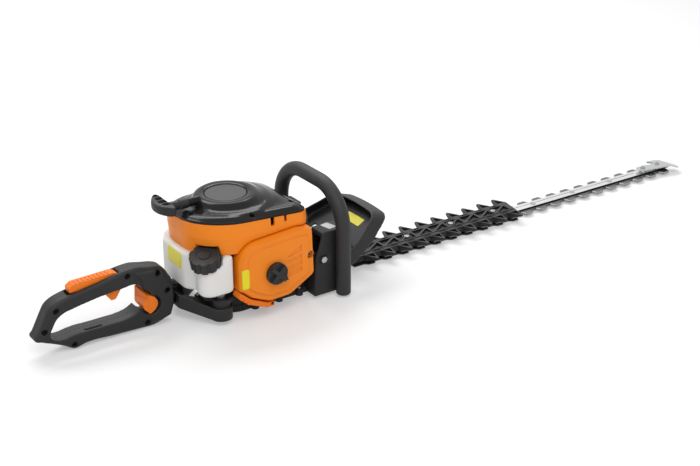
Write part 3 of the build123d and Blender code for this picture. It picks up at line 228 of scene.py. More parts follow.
# Fasteners: steel screws and bolts with fine turning marks.
# Most are zinc-plated and the handle and cover screws are blackened; the filter screw is painted dark
# bronze, a painted reflection of the orange filter cover round it.
def metal(name, colour, rough, scale, stretch, depth_mm, drift=0.1):
    """Bare metal with drawn or turned marks along the stretch axis."""
    material = bpy.data.materials.new(name)
    material.use_nodes = True
    tree = material.node_tree
    shader = tree.nodes["Principled BSDF"]
    shader.inputs["Metallic"].default_value = 1.0
    place = Shade(tree).node("ShaderNodeTexCoord", {}, {}, "Object")
    drawn = place.node("ShaderNodeMapping", {}, {"Vector": place, "Scale": stretch})
    marks = place.node("ShaderNodeTexNoise", {}, {"Vector": drawn, "Scale": scale, "Detail": 4.0})
    cloud = place.node("ShaderNodeTexNoise", {}, {"Vector": place, "Scale": 30.0, "Detail": 3.0})
    rounded = place.node("ShaderNodeBevel", {"samples": 4}, {"Radius": 0.0004})
    tone = place.mix(cloud * 0.6 + marks * 0.4, *tones(colour, drift))
    bump = place.node("ShaderNodeBump", {}, {"Strength": 0.4, "Distance": depth_mm / 1000,
                                             "Height": marks, "Normal": rounded})
    tree.links.new(tone.socket, shader.inputs["Base Color"])
    tree.links.new((rough - 0.08 + 0.12 * marks + 0.06 * cloud).socket, shader.inputs["Roughness"])
    tree.links.new(bump.socket, shader.inputs["Normal"])
    return material


dress(metal("zinc_plate", (0.42, 0.43, 0.44), 0.3, 600.0, (1, 1, 1), 0.05),
      ["gearcase_screws", "guard_bolts", "tip_screws", "blade_bolts", "bracket_bolts"])
dress(metal("black_oxide", (0.012, 0.012, 0.013), 0.42, 600.0, (1, 1, 1), 0.05),
      ["handle_screws", "cover_screws", "swivel_shaft"])
# Painted reflection: the filter screw is coloured dark bronze for the orange of the cover that it
# reflects.
dress(metal("bronze_painted_reflection", (0.3, 0.14, 0.05), 0.36, 600.0, (1, 1, 1), 0.05, drift=0.25),
      ["filter_screw"])

# Drive: clutch drum and shoes, cam gear and crankshaft, in oiled gear steel with turning marks.
# They sit inside the gear case and the clutch housing.
dress(metal("gear_steel", (0.36, 0.36, 0.37), 0.38, 400.0, (1, 1, 6), 0.04),
      ["clutch_drum", "clutch_shoes", "cam_gear", "crankshaft"])

# Engine block: cylinder, flywheel and carburettor in bare die-cast aluminium with a dull, grainy skin.
# The spark plug is glazed ceramic and the ignition coil is cast in dark resin.
dress(metal("cast_alloy", (0.5, 0.5, 0.49), 0.52, 700.0, (1, 1, 1), 0.2),
      ["cylinder", "flywheel", "carburettor"])
dress(grained("plug_glaze", (0.72, 0.7, 0.65), 0.2, 3.0, 0.05, edge=0.05), ["spark_plug"])
dress(grained("coil_resin", (0.02, 0.02, 0.024), 0.45, 1.2, 0.1), ["ignition_coil"])

# Silencer: a pressed steel box dulled by heat.
# Its slotted cover is pressed steel too, painted with heat-proof black.
dress(metal("heat_dulled", (0.26, 0.23, 0.2), 0.5, 90.0, (1, 1, 1), 0.08, drift=0.3), ["muffler"])
dress(grained("heat_black", (0.025, 0.025, 0.026), 0.6, 0.8, 0.2, edge=0.35), ["muffler_cover"])

# Fuel tank finish: blow-moulded natural polyethylene, milky, with a soft sheen.
# Light passes a little way in; the tank's form is made further down.
dress(grained("tank_skin", (0.74, 0.74, 0.725), 0.36, 6.0, 0.25, edge=0.1, drift=0.04, round_mm=5.0,
              constants=(("Subsurface Weight", 0.25), ("Subsurface Scale", 0.006))), ["fuel_tank"])

# Orange covers: shroud and filter cover in nylon coloured through, with a fine spark-eroded grain.
# The levers are a redder, slightly glossier moulding of the same kind.
dress(grained("orange_shell", (0.86, 0.228, 0.004), 0.42, 0.5, 0.06, edge=0.08, drift=0.05,
              round_mm=2.2), ["engine_shroud", "filter_cover"])
dress(grained("orange_lever", (0.84, 0.18, 0.004), 0.34, 0.6, 0.05, edge=0.12, drift=0.05),
      ["throttle_trigger", "throttle_lock", "rotation_lock", "choke_lever"])

# Starter cover and its plain crown disc: near-gloss black plastic and a satin disc let into it.
# The cover is a thin moulded shell, its height worked out over rings and spokes in millimetres,
# with a rope guide, a reel post and six sunk screw seats.
dress(grained("cover_gloss", (0.012, 0.012, 0.0123), 0.13, 0.7, 0.02, edge=0.08, drift=0.1,
              round_mm=1.6, constants=(("Specular IOR Level", 0.16),)), ["starter_cover"])
dress(grained("crown_satin", (0.038, 0.038, 0.0385), 0.34, 0.5, 0.05, edge=0.12), ["badge_disc"])


def rim_height(x, y):
    rim_top, front_fall, left_fall, right_side = 167.0, 0.0664, 0.0875, 82
    return rim_top - x * front_fall - (y + right_side) * left_fall


def eased(t):
    t = min(1.0, max(0.0, t))
    return t * t * (3 - 2 * t)


def joined(a, b, width):
    """The higher of two heights, with the crease between them rounded."""
    return max(a, b) + max(width - abs(a - b), 0.0) ** 2 / (4 * width)


def rim_distance(angle):
    """How far the rim lies from the crown's axis: straight sides, large rear and small front corners."""
    rear, front, half_width = -84.4, 100.4, 81.4
    rear_x, rear_y, rear_radius = -15, 12, 69.4
    front_x, front_y, front_radius = 81, 62, 19.4
    low, high = 0.0, 140.0
    for _ in range(32):
        middle = (low + high) / 2
        x, y = middle * math.cos(angle), abs(middle * math.sin(angle))
        inside = rear <= x <= front and y <= half_width
        if x < rear_x and y > rear_y:
            inside = inside and math.hypot(x - rear_x, y - rear_y) <= rear_radius
        if x > front_x and y > front_y:
            inside = inside and math.hypot(x - front_x, y - front_y) <= front_radius
        low, high = (middle, high) if inside else (low, middle)
    return low


seat_z = 181.3
crown = ((0, seat_z), (33.5, seat_z), (34.0, 183.6), (37, 184.7), (42, 185.3), (46.5, 184.9),
         (50, 183.4), (54, 180.6), (58, 178.0), (62, 176.4), (67, 175.2), (71, 173.3), (75, 169.8),
         (79, 163.0))


def cover_height(x, y, radius, rim):
    """Crown round the disc, a falling fairing towards the front and a rounded lip along the rim."""
    base, inward = rim_height(x, y), max(0.0, rim - radius)
    away = eased((math.cos(math.atan2(y, x) - math.radians(150)) - 0.35) / 0.5)
    reach = radius * (1 + 0.05 * away * eased((radius - 36) / 10))
    for (r0, z0), (r1, z1) in zip(crown, crown[1:]):
        if r0 <= reach <= r1:
            dome = z0 + (z1 - z0) * (reach - r0) / (r1 - r0)
            break
    else:
        dome = 0.0
    dome -= away * 9 * eased((reach - 50) / 12)
    if radius < 46:
        return dome
    lip = base + 8.0 * (1 - (1 - min(1.0, inward / 16)) ** 2.2)
    ridge = 184.5 - 23 * (max(0.0, x - 10) / 90) ** 2.4
    fairing = base + (ridge - base) * max(0.0, 1 - (abs(y - 4) / 76) ** 2.4)
    fairing = base + (fairing - base) * (1 - (1 - min(1.0, inward / 18)) ** 3) * eased((x - 5) / 40)
    return max(base, joined(dome, joined(fairing, lip, 4.0), 5.0))


screw_places = [(x, side * y) for x, y in ((-72, 22), (2, 75.5), (86, 52)) for side in (1, -1)]
rings, spokes = 96, 288
wall, flange, seat_reach = 3.0, 2.5, 7
upper, lower = [(0, 0, seat_z)], [(0, 0, 178.3)]
for i in range(1, rings + 1):
    for k in range(spokes):
        angle = 2 * math.pi * k / spokes
        rim = rim_distance(angle)
        radius = rim * i / rings
        x, y = radius * math.cos(angle), radius * math.sin(angle)
        height = cover_height(x, y, radius, rim)
        near_screw = min(math.hypot(x - u, y - v) for u, v in screw_places) < seat_reach
        upper.append((x, y, height))
        lower.append((x, y, rim_height(x, y) - flange if near_screw or i == rings
                      else max(rim_height(x, y) - flange, height - wall)))
corners = [(x / 1000, y / 1000, z / 1000) for x, y, z in upper + lower]
faces = []
for shift in (0, len(upper)):
    for k in range(spokes):
        n = (k + 1) % spokes
        faces.append((shift, shift + 1 + k, shift + 1 + n))
        for i in range(rings - 1):
            here = shift + 1 + i * spokes
            faces.append((here + k, here + spokes + k, here + spokes + n, here + n))
last = 1 + (rings - 1) * spokes
under = len(upper) + last
faces += [(last + k, last + (k + 1) % spokes, under + (k + 1) % spokes, under + k)
          for k in range(spokes)]


def mended(mesh, weld):
    """Joins points closer than the weld distance, where there is one, and turns the faces outward."""
    shape = bmesh.new()
    shape.from_mesh(mesh)
    if weld:
        bmesh.ops.remove_doubles(shape, verts=shape.verts, dist=weld)
    bmesh.ops.recalc_face_normals(shape, faces=shape.faces)
    shape.to_mesh(mesh)
    shape.free()


def closed_object(name, corners, faces, weld=0.0000005):
    mesh = bpy.data.meshes.new(name)
    mesh.from_pydata(corners, [], faces)
    mended(mesh, weld)
    return shown(name, mesh)


def applied(piece):
    """The mesh that a piece's modifiers give it."""
    return bpy.data.meshes.new_from_object(
        piece.evaluated_get(bpy.context.evaluated_depsgraph_get()))


def settle(piece):
    """Turns a piece's modifiers into plain mesh."""
    solid = applied(piece)
    piece.modifiers.clear()
    piece.data = solid


def paint_like(piece, node):
    """Gives a shaped piece the finish of the CAD node that it stands for."""
    piece.data.materials.clear()
    piece.data.materials.append(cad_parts[node].data.materials[0])


def round_bar(place, along, radius, length):
    """A plain cylinder that starts at a place, in millimetres."""
    aim, sides = Vector(along).to_track_quat("Z", "Y"), 48
    points = [Vector(place) / 1000 + aim @ Vector((radius * math.cos(2 * math.pi * k / sides),
                                                  radius * math.sin(2 * math.pi * k / sides), z)) / 1000
              for z in (0, length) for k in range(sides)]
    skin = [(k, (k + 1) % sides, sides + (k + 1) % sides, sides + k) for k in range(sides)]
    return closed_object("bar", points, skin + [tuple(range(sides)), tuple(range(sides, 2 * sides))])


def worked(piece, operation, tools):
    """Adds the tools to a block or cuts them out of it, and removes them."""
    for tool in tools:
        cut = piece.modifiers.new("cut", "BOOLEAN")
        cut.operation, cut.object, cut.solver = operation, tool, "EXACT"
    settle(piece)
    for tool in tools:
        bpy.data.objects.remove(tool)


cover_shell = closed_object("starter_cover_shell", corners, faces)
rope_guide = round_bar((-66, 0, 182.5), (1, 0, 0), 7, 20)
reel_post = round_bar((0, 0, 147), (0, 0, 1), 6.5, 33)
worked(cover_shell, "UNION", [rope_guide, reel_post])
worked(cover_shell, "DIFFERENCE",
       [round_bar((-67, 0, 182.5), (1, 0, 0), 2.6, 14)]
       + [round_bar((x, y, rim_height(x, y)), (0, 0, 1), 4.6, 30) for x, y in screw_places]
       + [round_bar((x, y, 130), (0, 0, 1), 2.2, 50) for x, y in screw_places])
paint_like(cover_shell, "starter_cover")
cover_shell.data.shade_smooth()
cover_shell.data.set_sharp_from_angle(angle=math.radians(38))
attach(cover_shell, "trimmer")
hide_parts("starter_cover")

disc_profile = [(0.0, seat_z), (32.5, seat_z), (32.5, 182.9), (31.9, 183.5), (0.0, 183.5)]
sides = 96
disc = closed_object(
    "crown_disc",
    [(r / 1000 * math.cos(2 * math.pi * k / sides), r / 1000 * math.sin(2 * math.pi * k / sides), z / 1000)
     for r, z in disc_profile for k in range(sides)],
    [(i * sides + k, i * sides + (k + 1) % sides, (i + 1) * sides + (k + 1) % sides, (i + 1) * sides + k)
     for i in range(len(disc_profile) - 1) for k in range(sides)])
paint_like(disc, "badge_disc")
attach(disc, "trimmer")
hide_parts("badge_disc")

# Charcoal mouldings: guard, rear handle, bracket and small covers in matt glass-filled nylon.
# Caps and knobs are a little glossier, and the front handle has a soft sleeve.
dress(grained("charcoal_nylon", (0.0165, 0.0165, 0.0168), 0.52, 0.7, 0.12, edge=0.14, round_mm=2.4),
      ["hand_guard", "handle_right", "handle_left", "handle_bracket", "cylinder_cover", "filter_base"])
dress(grained("charcoal_knob", (0.017, 0.017, 0.0173), 0.46, 0.7, 0.1, edge=0.14),
      ["starter_grip", "fuel_cap", "filter_knob", "recoil_reel"])
dress(grained("grip_sleeve", (0.026, 0.026, 0.0263), 0.52, 0.9, 0.12, edge=0.08), ["front_handle"])

# Rear handle: two nylon halves screwed together along the middle, rounded all over, with a hand gap,
# pockets for the levers, sunk screw heads and a narrow drain slot in the lower bar.
handle_outline = ((-331, 31), (-326, 39), (-318.5, 53), (-312, 65), (-305, 76), (-295.5, 82.5),
                  (-281, 87.3), (-262, 91), (-225, 97), (-204, 101.2), (-190, 103.6), (-176, 105),
                  (-164, 105), (-150, 102), (-124, 95.8),
                  (-119, 92.5), (-111, 80), (-104.5, 68), (-103.5, 52), (-104, 42),
                  (-107, 27), (-110.5, 13), (-119, 8), (-131, 3.4), (-143, 1.2), (-160, 1.6), (-207, 3.2),
                  (-252, 4.6), (-262, 2.2), (-270, 0.8), (-287, 9.8), (-303, 17.6), (-320, 25))
gap_outline = ((-303, 25.4), (-307.5, 32), (-306.5, 40), (-302.5, 47.6), (-296.5, 57), (-286, 64.2),
               (-269.7, 68), (-246.7, 72), (-216.4, 76), (-190, 78), (-166, 78.5), (-159.5, 73),
               (-157.5, 55), (-158.5, 40), (-168, 31.5), (-183, 26.5), (-216, 25.2), (-262, 25.4))
cheek_outline = ((-168, 98), (-140, 95), (-125, 90), (-110, 70), (-106, 52), (-107.5, 30), (-113, 14),
                 (-130, 9), (-145, 9), (-152, 28), (-158, 80))
lever_pocket = ((-273, 125), (-273, 82), (-222, 79), (-222, 60), (-172, 66), (-172, 94), (-190, 99),
                (-190, 128))
lock_pocket = ((-168, 74), (-156, 68), (-140, 56.5), (-132, 49), (-129.5, 39), (-135, 28.5), (-147, 24),
               (-156, 27), (-163, 36), (-166, 48), (-170, 60))
drain_slot = ((-252, 20), (-224, 20), (-224, 30), (-252, 30))
handle_screws_at = ((-179.7, 95.6), (-131, 88.6), (-117, 57), (-152, 10), (-296, 71), (-316, 42.5),
                    (-272, 9))


def moulding(outline, half, edge, handles, middle=0.0):
    """A block with this side view in millimetres, rounded along its rim; gives its object."""
    side_view = bpy.data.curves.new("side_view", "CURVE")
    side_view.dimensions, side_view.fill_mode, side_view.resolution_u = "2D", "BOTH", 6
    ring = side_view.splines.new("BEZIER")
    ring.bezier_points.add(len(outline) - 1)
    for point, (x, z) in zip(ring.bezier_points, outline):
        point.co = (x / 1000, z / 1000, 0)
        point.handle_left_type = point.handle_right_type = handles
    ring.use_cyclic_u = True
    side_view.extrude, side_view.bevel_depth = (half - edge) / 1000, edge / 1000
    side_view.offset, side_view.bevel_resolution = -edge / 1000, 4
    blank = shown("blank", side_view)
    solid = applied(blank)
    bpy.data.objects.remove(blank)
    upright = Matrix.Translation((0, middle / 1000, 0)) @ Matrix.Rotation(math.pi / 2, 4, "X")
    solid.transform(upright)
    mended(solid, 0.000001)
    return shown("moulding", solid)


def ring_of(x, z, radius):
    return [(x + radius * math.cos(math.pi * k / 12), z + radius * math.sin(math.pi * k / 12))
            for k in range(24)]


def soften(piece, voxel_mm, passes):
    """Lays one even skin over a piece and smooths it."""
    skin = piece.modifiers.new("skin", "REMESH")
    skin.mode, skin.voxel_size = "VOXEL", voxel_mm / 1000
    soft = piece.modifiers.new("soft", "SMOOTH")
    soft.factor, soft.iterations = 0.5, passes


handle_blank = moulding(handle_outline, 16, 7, "AUTO")
worked(handle_blank, "UNION", [moulding(cheek_outline, 20, 3.5, "VECTOR")])
worked(handle_blank, "DIFFERENCE", [
    moulding(gap_outline, 40, 0, "AUTO"), moulding(lever_pocket, 8.5, 0, "VECTOR"),
    moulding(lock_pocket, 40, 0, "AUTO"), moulding(drain_slot, 2, 0, "VECTOR", -8.5)]
    + [moulding(ring_of(x, z, 4.6), 10, 0, "AUTO", side * 21)
       for x, z in handle_screws_at for side in (1, -1)])
soften(handle_blank, 1.1, 5)
whole_handle = applied(handle_blank)
bpy.data.objects.remove(handle_blank)
seam_gap = 0.00015
for half_name, side in (("handle_right", -1), ("handle_left", 1)):
    shape = bmesh.new()
    shape.from_mesh(whole_handle)
    sheared = bmesh.ops.bisect_plane(
        shape, geom=shape.verts[:] + shape.edges[:] + shape.faces[:], dist=0.000001,
        plane_co=(0, side * seam_gap, 0), plane_no=(0, -side, 0), clear_outer=True)
    seam = [e for e in sheared["geom_cut"] if isinstance(e, bmesh.types.BMEdge)]
    bmesh.ops.holes_fill(shape, edges=seam)
    half_mesh = bpy.data.meshes.new(half_name + "_shell")
    shape.to_mesh(half_mesh)
    shape.free()
    half_mesh.shade_smooth()
    half_mesh.set_sharp_from_angle(angle=math.radians(50))
    half_shell = shown(half_name + "_shell", half_mesh)
    paint_like(half_shell, half_name)
    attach(half_shell, "rear_handle")
    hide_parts(half_name)

# Swivel release: an orange nylon paddle across the front of the hand gap with a round button.
# It is one moulding with broken edges that slides to the rear in its pocket in the handle.
paddle_ends = ((-17.5, ((-149.5, 25.5), (-149.5, 54), (-146, 55), (-138, 50), (-138, 30), (-146, 25))),
               (15.0, ((-157.5, 37), (-156, 62), (-152, 63), (-142, 58), (-142, 38), (-150, 35))))
paddle_points = [(x / 1000, y / 1000, z / 1000) for y, ring in paddle_ends for x, z in ring]
count = len(paddle_points) // 2
paddle = closed_object("swivel_release_paddle", paddle_points,
                       [(k, (k + 1) % count, count + (k + 1) % count, count + k) for k in range(count)]
                       + [tuple(range(count)), tuple(range(count, 2 * count))])
worked(paddle, "UNION", [round_bar((-145.5, -16.5, 39.5), (0, 1, 0), 12, 30)])
paddle_edge = paddle.modifiers.new("edge", "BEVEL")
paddle_edge.width, paddle_edge.segments, paddle_edge.angle_limit = 0.0009, 3, math.radians(40)
settle(paddle)
paint_like(paddle, "rotation_lock")
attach(paddle, "swivel_lock")
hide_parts("rotation_lock")

# Hand guard and fuel tank: softer mouldings than the construction solids, every corner rounded over.
# The guard is nylon, bolted on, its upper edge arched; the tank is a blow-moulded bottle.
foot_x, foot_z, rise_x, rise_z = 0.168, 0.0386, 0.857, 0.515
arch_height, arch_from, arch_over, arch_half = 0.006, 0.06, 0.03, 0.075
softened = {}
for node, passes in (("hand_guard", 26), ("fuel_tank", 44)):
    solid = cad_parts[node].data.copy()
    solid.transform(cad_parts[node].matrix_world)
    piece = shown(node + "_shell", solid)
    soften(piece, 1.3, passes)
    moulded = applied(piece)
    if node == "hand_guard":
        for corner in moulded.vertices:
            up_slope = (corner.co.x - foot_x) * rise_x + (corner.co.z - foot_z) * rise_z
            bow = max(0.0, 1 - (corner.co.y / arch_half) ** 2)
            arch = arch_height * eased((up_slope - arch_from) / arch_over) * bow
            corner.co += Vector((rise_x, 0, rise_z)) * arch
    piece.modifiers.clear()
    piece.data = moulded
    paint_like(piece, node)
    piece.data.shade_smooth()
    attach(piece, "trimmer")
    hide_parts(node)
    softened[node] = moulded

# Rubber mounts between bracket and gear case, in dull black rubber.
# The filter element is open-pored grey foam, held under the filter cover.
dress(grained("mount_rubber", (0.014, 0.014, 0.014), 0.7, 1.5, 0.1, edge=0.05), ["av_mounts"])
dress(grained("filter_foam", (0.05, 0.05, 0.052), 0.9, 1.1, 0.8, edge=0.0, drift=0.4),
      ["filter_element"])

# Cutting gear: ground spring-steel blades with grinding marks across them, black plastic combs.
# The bar is ground bright on top and has a narrow groove along it; its sides carry painted shade, a
# near-black colour on the faces that look sideways.
dress(metal("ground_steel", (0.15, 0.15, 0.152), 0.34, 260.0, (8, 1, 1), 0.04),
      ["upper_blade", "lower_blade"])
drawn_bar = metal("drawn_bar", (0.68, 0.69, 0.695), 0.3, 260.0, (1, 10, 4), 0.03)
bar_tree = drawn_bar.node_tree
bar_colour = bar_tree.nodes["Principled BSDF"].inputs["Base Color"]
facing = Shade(bar_tree).node("ShaderNodeTexCoord", {}, {}, "Normal")
sideways = facing.node("ShaderNodeSeparateXYZ", {}, {"Vector": facing}, "Y")
# Painted shade: faces turned sideways get a near-black colour in place of the bar's ground tone.
painted_shade_sides = sideways.maths("GREATER_THAN", sideways * sideways, 0.4)
ground_top = Shade(bar_tree, bar_colour.links[0].from_socket)
bar_tree.links.new(facing.mix(painted_shade_sides, ground_top, (0.05, 0.05, 0.052, 1)).socket, bar_colour)
dress(drawn_bar, ["guide_bar"])
dress(metal("pressed_tip", (0.5, 0.505, 0.51), 0.36, 320.0, (1, 1, 1), 0.05), ["tip_guard"])
dress(grained("comb_black", (0.012, 0.012, 0.012), 0.38, 0.6, 0.06, edge=0.2),
      ["comb_upper", "comb_lower"])

groove_ends, groove_sides, groove_depth = (0.44, 0.9), (0.0014, 0.0026), 0.0009
groove_heights = (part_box("guide_bar")[1].z - groove_depth, 0.03)
bar_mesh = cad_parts["guide_bar"].data.copy()
bar_mesh.transform(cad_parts["guide_bar"].matrix_world)
grooved_bar = shown("guide_bar_grooved", bar_mesh)
groove = closed_object(
    "groove", [(x, y, z) for x in groove_ends for y in groove_sides for z in groove_heights],
    [(0, 1, 3, 2), (4, 6, 7, 5), (0, 4, 5, 1), (2, 3, 7, 6), (0, 2, 6, 4), (1, 5, 7, 3)])
worked(grooved_bar, "DIFFERENCE", [groove])
paint_like(grooved_bar, "guide_bar")
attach(grooved_bar, "trimmer")
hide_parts("guide_bar")

# Ground edges: the flanks and ends of the blade teeth, ground to a slope that ends in the cutting edge.
# One pitch of edges, a left tooth and a right tooth half a pitch ahead, repeats along each blade.
ground_edge = metal("ground_edge", (0.34, 0.34, 0.345), 0.28, 500.0, (1, 1, 1), 0.03)
tooth_rows = bpy.data.node_groups.new("tooth_rows", "GeometryNodeTree")
tooth_rows.interface.new_socket("Edges", in_out="INPUT", socket_type="NodeSocketGeometry")
for label, kind in (("Count", "Int"), ("Pitch", "Float"), ("First", "Float"), ("Finish", "Material")):
    tooth_rows.interface.new_socket(label, in_out="INPUT", socket_type="NodeSocket" + kind)
tooth_rows.interface.new_socket("Rows", in_out="OUTPUT", socket_type="NodeSocketGeometry")
asked = {out.name: Shade(tooth_rows, out)
         for out in tooth_rows.nodes.new("NodeGroupInput").outputs if out.name}
row = Shade(tooth_rows)
points = row.node("GeometryNodeMeshLine", {"mode": "OFFSET"}, {
    "Count": asked["Count"],
    "Start Location": row.node("ShaderNodeCombineXYZ", {}, {"X": asked["First"]}),
    "Offset": row.node("ShaderNodeCombineXYZ", {}, {"X": asked["Pitch"]})})
placed = row.node("GeometryNodeInstanceOnPoints", {}, {"Points": points, "Instance": asked["Edges"]})
finished = row.node("GeometryNodeSetMaterial", {}, {
    "Geometry": row.node("GeometryNodeRealizeInstances", {}, {"Geometry": placed}),
    "Material": asked["Finish"]})
tooth_rows.links.new(finished.socket, tooth_rows.nodes.new("NodeGroupOutput").inputs["Rows"])

tooth_pitch, bevel_width = 0.035, 0.0013
tooth_outline = ((0.011, 0.0132), (0.007, 0.0225), (-0.007, 0.0225), (-0.011, 0.0132))
bevel_faces = ((0, 1, 2, 3), (3, 2, 5, 4), (4, 5, 1, 0), (0, 3, 4), (1, 5, 2))
wanted = {"Count": 20, "Pitch": tooth_pitch, "First": 0.2785, "Finish": ground_edge}
for blade, body, cut_side in (("upper_blade", "top_blade", -1), ("lower_blade", "bottom_blade", 1)):
    low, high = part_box(blade)[0].z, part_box(blade)[1].z
    back, edge = (high, low) if cut_side < 0 else (low, high)
    corners, faces = [], []
    for side, ahead in ((1, 0.0), (-1, tooth_pitch / 2)):
        for (x0, y0), (x1, y1) in zip(tooth_outline, tooth_outline[1:]):
            out = Vector((y0 - y1, x1 - x0)).normalized() * -bevel_width
            ring = [(x0, y0, back), (x1, y1, back), (x1, y1, edge), (x0, y0, edge),
                    (x0 + out.x, y0 + out.y, edge), (x1 + out.x, y1 + out.y, edge)]
            first = len(corners)
            corners += [(ahead + x, side * y, z) for x, y, z in ring]
            faces += [[first + i for i in face] for face in bevel_faces]
    edges = closed_object(blade + "_edges", corners, faces, None)
    rows = edges.modifiers.new("rows", "NODES")
    rows.node_group = tooth_rows
    for item in tooth_rows.interface.items_tree:
        if item.in_out == "INPUT" and item.name in wanted:
            rows[item.identifier] = wanted[item.name]
    settle(edges)
    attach(edges, body)

# Pull grip: a bowed nylon bar with finger pockets along its upper front edge, moulded on a tapered neck.
# The starter rope is knotted inside it.
grip_half, grip_floor, grip_roof = 0.0335, 0.1785, 0.1945
grip_middle, grip_rise = (grip_floor + grip_roof) / 2, (grip_roof - grip_floor) / 2
pocket_pitch, pocket_half, pocket_depth = 0.0125, 0.0044, 0.0045
rope_axis = 0.1825
corners, faces = [], []
steps, around = 96, 40
for i in range(steps + 1):
    t = math.sin(math.pi * (i / steps - 0.5))
    y = grip_half * t
    front = -0.0985 - 0.004 * abs(t) ** 5
    rear = -0.1225 + 0.0155 * t * t
    end = max(0.0, 1 - abs(t) ** 14) ** 0.5
    for k in range(around):
        turned = 2 * math.pi * k / around
        c, r = math.cos(turned), math.sin(turned)
        out, up = math.copysign(abs(c) ** 0.55, c), math.copysign(abs(r) ** 0.55, r)
        x = (front + rear) / 2 + (front - rear) / 2 * out * (0.25 + 0.75 * end)
        z = grip_middle + grip_rise * up * (0.2 + 0.8 * end)
        z += 0.001 * t * t
        pocket = min(abs(y - pocket_pitch * n) for n in (-1, 0, 1, 2))
        if r > 0.6 and pocket < pocket_half and -0.1105 < x < front - 0.0016:
            z -= pocket_depth
        corners.append((x, y, z))
for i in range(steps):
    for k in range(around):
        n = (k + 1) % around
        faces.append((i * around + k, i * around + n, (i + 1) * around + n, (i + 1) * around + k))
faces.append(tuple(range(around)))
faces.append(tuple(range(steps * around, (steps + 1) * around)))
first, sides = len(corners), 32
neck = ((-0.108, 0.0), (-0.108, 0.0082), (-0.1, 0.0078), (-0.0815, 0.007), (-0.0805, 0.0082),
        (-0.0672, 0.0078), (-0.0665, 0.0071), (-0.0665, 0.0026), (-0.1, 0.0026), (-0.1, 0.0))
for x, radius in neck:
    corners += [(x, radius * math.cos(2 * math.pi * k / sides),
                 rope_axis + radius * math.sin(2 * math.pi * k / sides)) for k in range(sides)]
for i in range(len(neck) - 1):
    here, ahead = first + i * sides, first + (i + 1) * sides
    for k in range(sides):
        n = (k + 1) % sides
        faces.append((here + k, here + n, ahead + n, ahead + k))
grip_bar = closed_object("pull_grip_bar", corners, faces, 0.00001)
grip_bar.data.shade_smooth()
grip_bar.data.set_sharp_from_angle(angle=math.radians(40))
paint_like(grip_bar, "fuel_cap")
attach(grip_bar, "pull_grip")
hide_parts("starter_grip")

# Starter rope: braided nylon, 3.6 mm thick, from the guide in the starter cover into the grip's neck.
rope_weave = bpy.data.materials.new("rope_weave")
rope_weave.use_nodes = True
weave_tree = rope_weave.node_tree
lie = Shade(weave_tree).node("ShaderNodeTexCoord", {}, {}, "Object")
strands = lie.node("ShaderNodeTexWave", {"bands_direction": "DIAGONAL"},
                   {"Vector": lie, "Scale": 420.0, "Distortion": 0.6})
weave_tone = lie.mix(strands, (0.3, 0.29, 0.27, 1), (0.62, 0.6, 0.56, 1))
weave_bump = lie.node("ShaderNodeBump", {}, {"Strength": 0.6, "Distance": 0.0004, "Height": strands})
weave_shader = weave_tree.nodes["Principled BSDF"]
weave_tree.links.new(weave_tone.socket, weave_shader.inputs["Base Color"])
weave_tree.links.new((0.75 + 0.1 * strands).socket, weave_shader.inputs["Roughness"])
weave_tree.links.new(weave_bump.socket, weave_shader.inputs["Normal"])
rope_ends, rope_r, rings, sides = (-0.062, -0.0995), 0.0018, 120, 12
corners = [(rope_ends[0] + (rope_ends[1] - rope_ends[0]) * i / rings,
            rope_r * math.cos(2 * math.pi * k / sides),
            rope_axis + rope_r * math.sin(2 * math.pi * k / sides))
           for i in range(rings + 1) for k in range(sides)]
faces = [(i * sides + k, i * sides + (k + 1) % sides,
          (i + 1) * sides + (k + 1) % sides, (i + 1) * sides + k)
         for i in range(rings) for k in range(sides)]
faces += [tuple(range(sides)), tuple(range(rings * sides, (rings + 1) * sides))]
rope = closed_object("starter_rope", corners, faces, None)
rope.data.shade_smooth()
rope.data.materials.append(rope_weave)
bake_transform(rope)


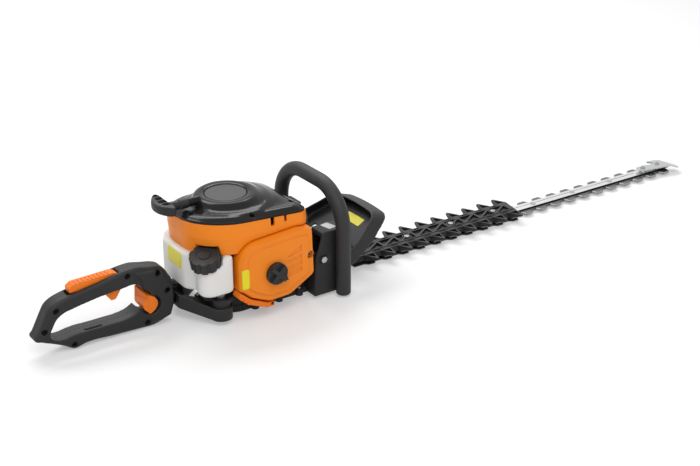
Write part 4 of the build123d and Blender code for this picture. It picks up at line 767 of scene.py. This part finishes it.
# Blank stickers: plain vinyl sheets with rounded corners.
# They are pressed on to the tank, the filter cover, the guard and a tower.
def sticker(name, node, centre, across, up, size, vinyl):
    """Lays a thin sheet on a piece: each point is dropped on to the surface and lifted a little."""
    mesh = softened.get(node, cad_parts[node].data)
    skin = BVHTree.FromPolygons([v.co for v in mesh.vertices], [p.vertices for p in mesh.polygons])
    outward = Vector(across).cross(Vector(up)).normalized()
    columns, lines, corner = 24, 16, 0.0022
    drop_from, lift, thickness = 0.008, 0.00025, 0.0002
    across, up = Vector(across).normalized(), Vector(up).normalized()
    points = []
    for j in range(lines + 1):
        for i in range(columns + 1):
            x, y = (i / columns - 0.5) * size[0], (j / lines - 0.5) * size[1]
            past = Vector((max(0.0, abs(x) - size[0] / 2 + corner),
                           max(0.0, abs(y) - size[1] / 2 + corner)))
            if past.length > corner:
                x -= math.copysign(past.x * (1 - corner / past.length), x)
                y -= math.copysign(past.y * (1 - corner / past.length), y)
            above = Vector(centre) + across * x + up * y + outward * drop_from
            points.append(skin.ray_cast(above, -outward)[0] + outward * lift)
    step = columns + 1
    sheet_mesh = bpy.data.meshes.new(name)
    sheet_mesh.from_pydata(points, [], [
        (j * step + i, j * step + i + 1, (j + 1) * step + i + 1, (j + 1) * step + i)
        for j in range(lines) for i in range(columns)])
    sheet_mesh.materials.append(vinyl)
    sheet_mesh.shade_smooth()
    film = shown(name, sheet_mesh)
    film.modifiers.new("film", "SOLIDIFY").thickness = thickness
    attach(film, "trimmer")


yellow_vinyl, white_vinyl = (
    grained(name, colour, 0.3, 4.0, 0.02, edge=0.0, drift=0.05, round_mm=0.1)
    for name, colour in (("yellow_vinyl", (0.78, 0.68, 0.012)), ("white_vinyl", (0.62, 0.62, 0.61))))
sticker("tank_sticker", "fuel_tank", (-0.095, -0.004, 0.1015), (0, -1, 0), (0, -0.05, 1),
        (0.044, 0.026), yellow_vinyl)
sticker("filter_sticker", "filter_cover", (-0.0235, -0.095, 0.0785), (1, 0, 0), (0, 0, 1),
        (0.011, 0.033), yellow_vinyl)
sticker("guard_sticker", "hand_guard", (0.2355, -0.006, 0.0832), (0, -1, 0), (0.86, 0, 0.52),
        (0.046, 0.016), yellow_vinyl)
sticker("tower_sticker", "hand_guard", (0.149, -0.0605, 0.112), (0.2, -1, 0), (1, 0.2, 0),
        (0.022, 0.015), white_vinyl)
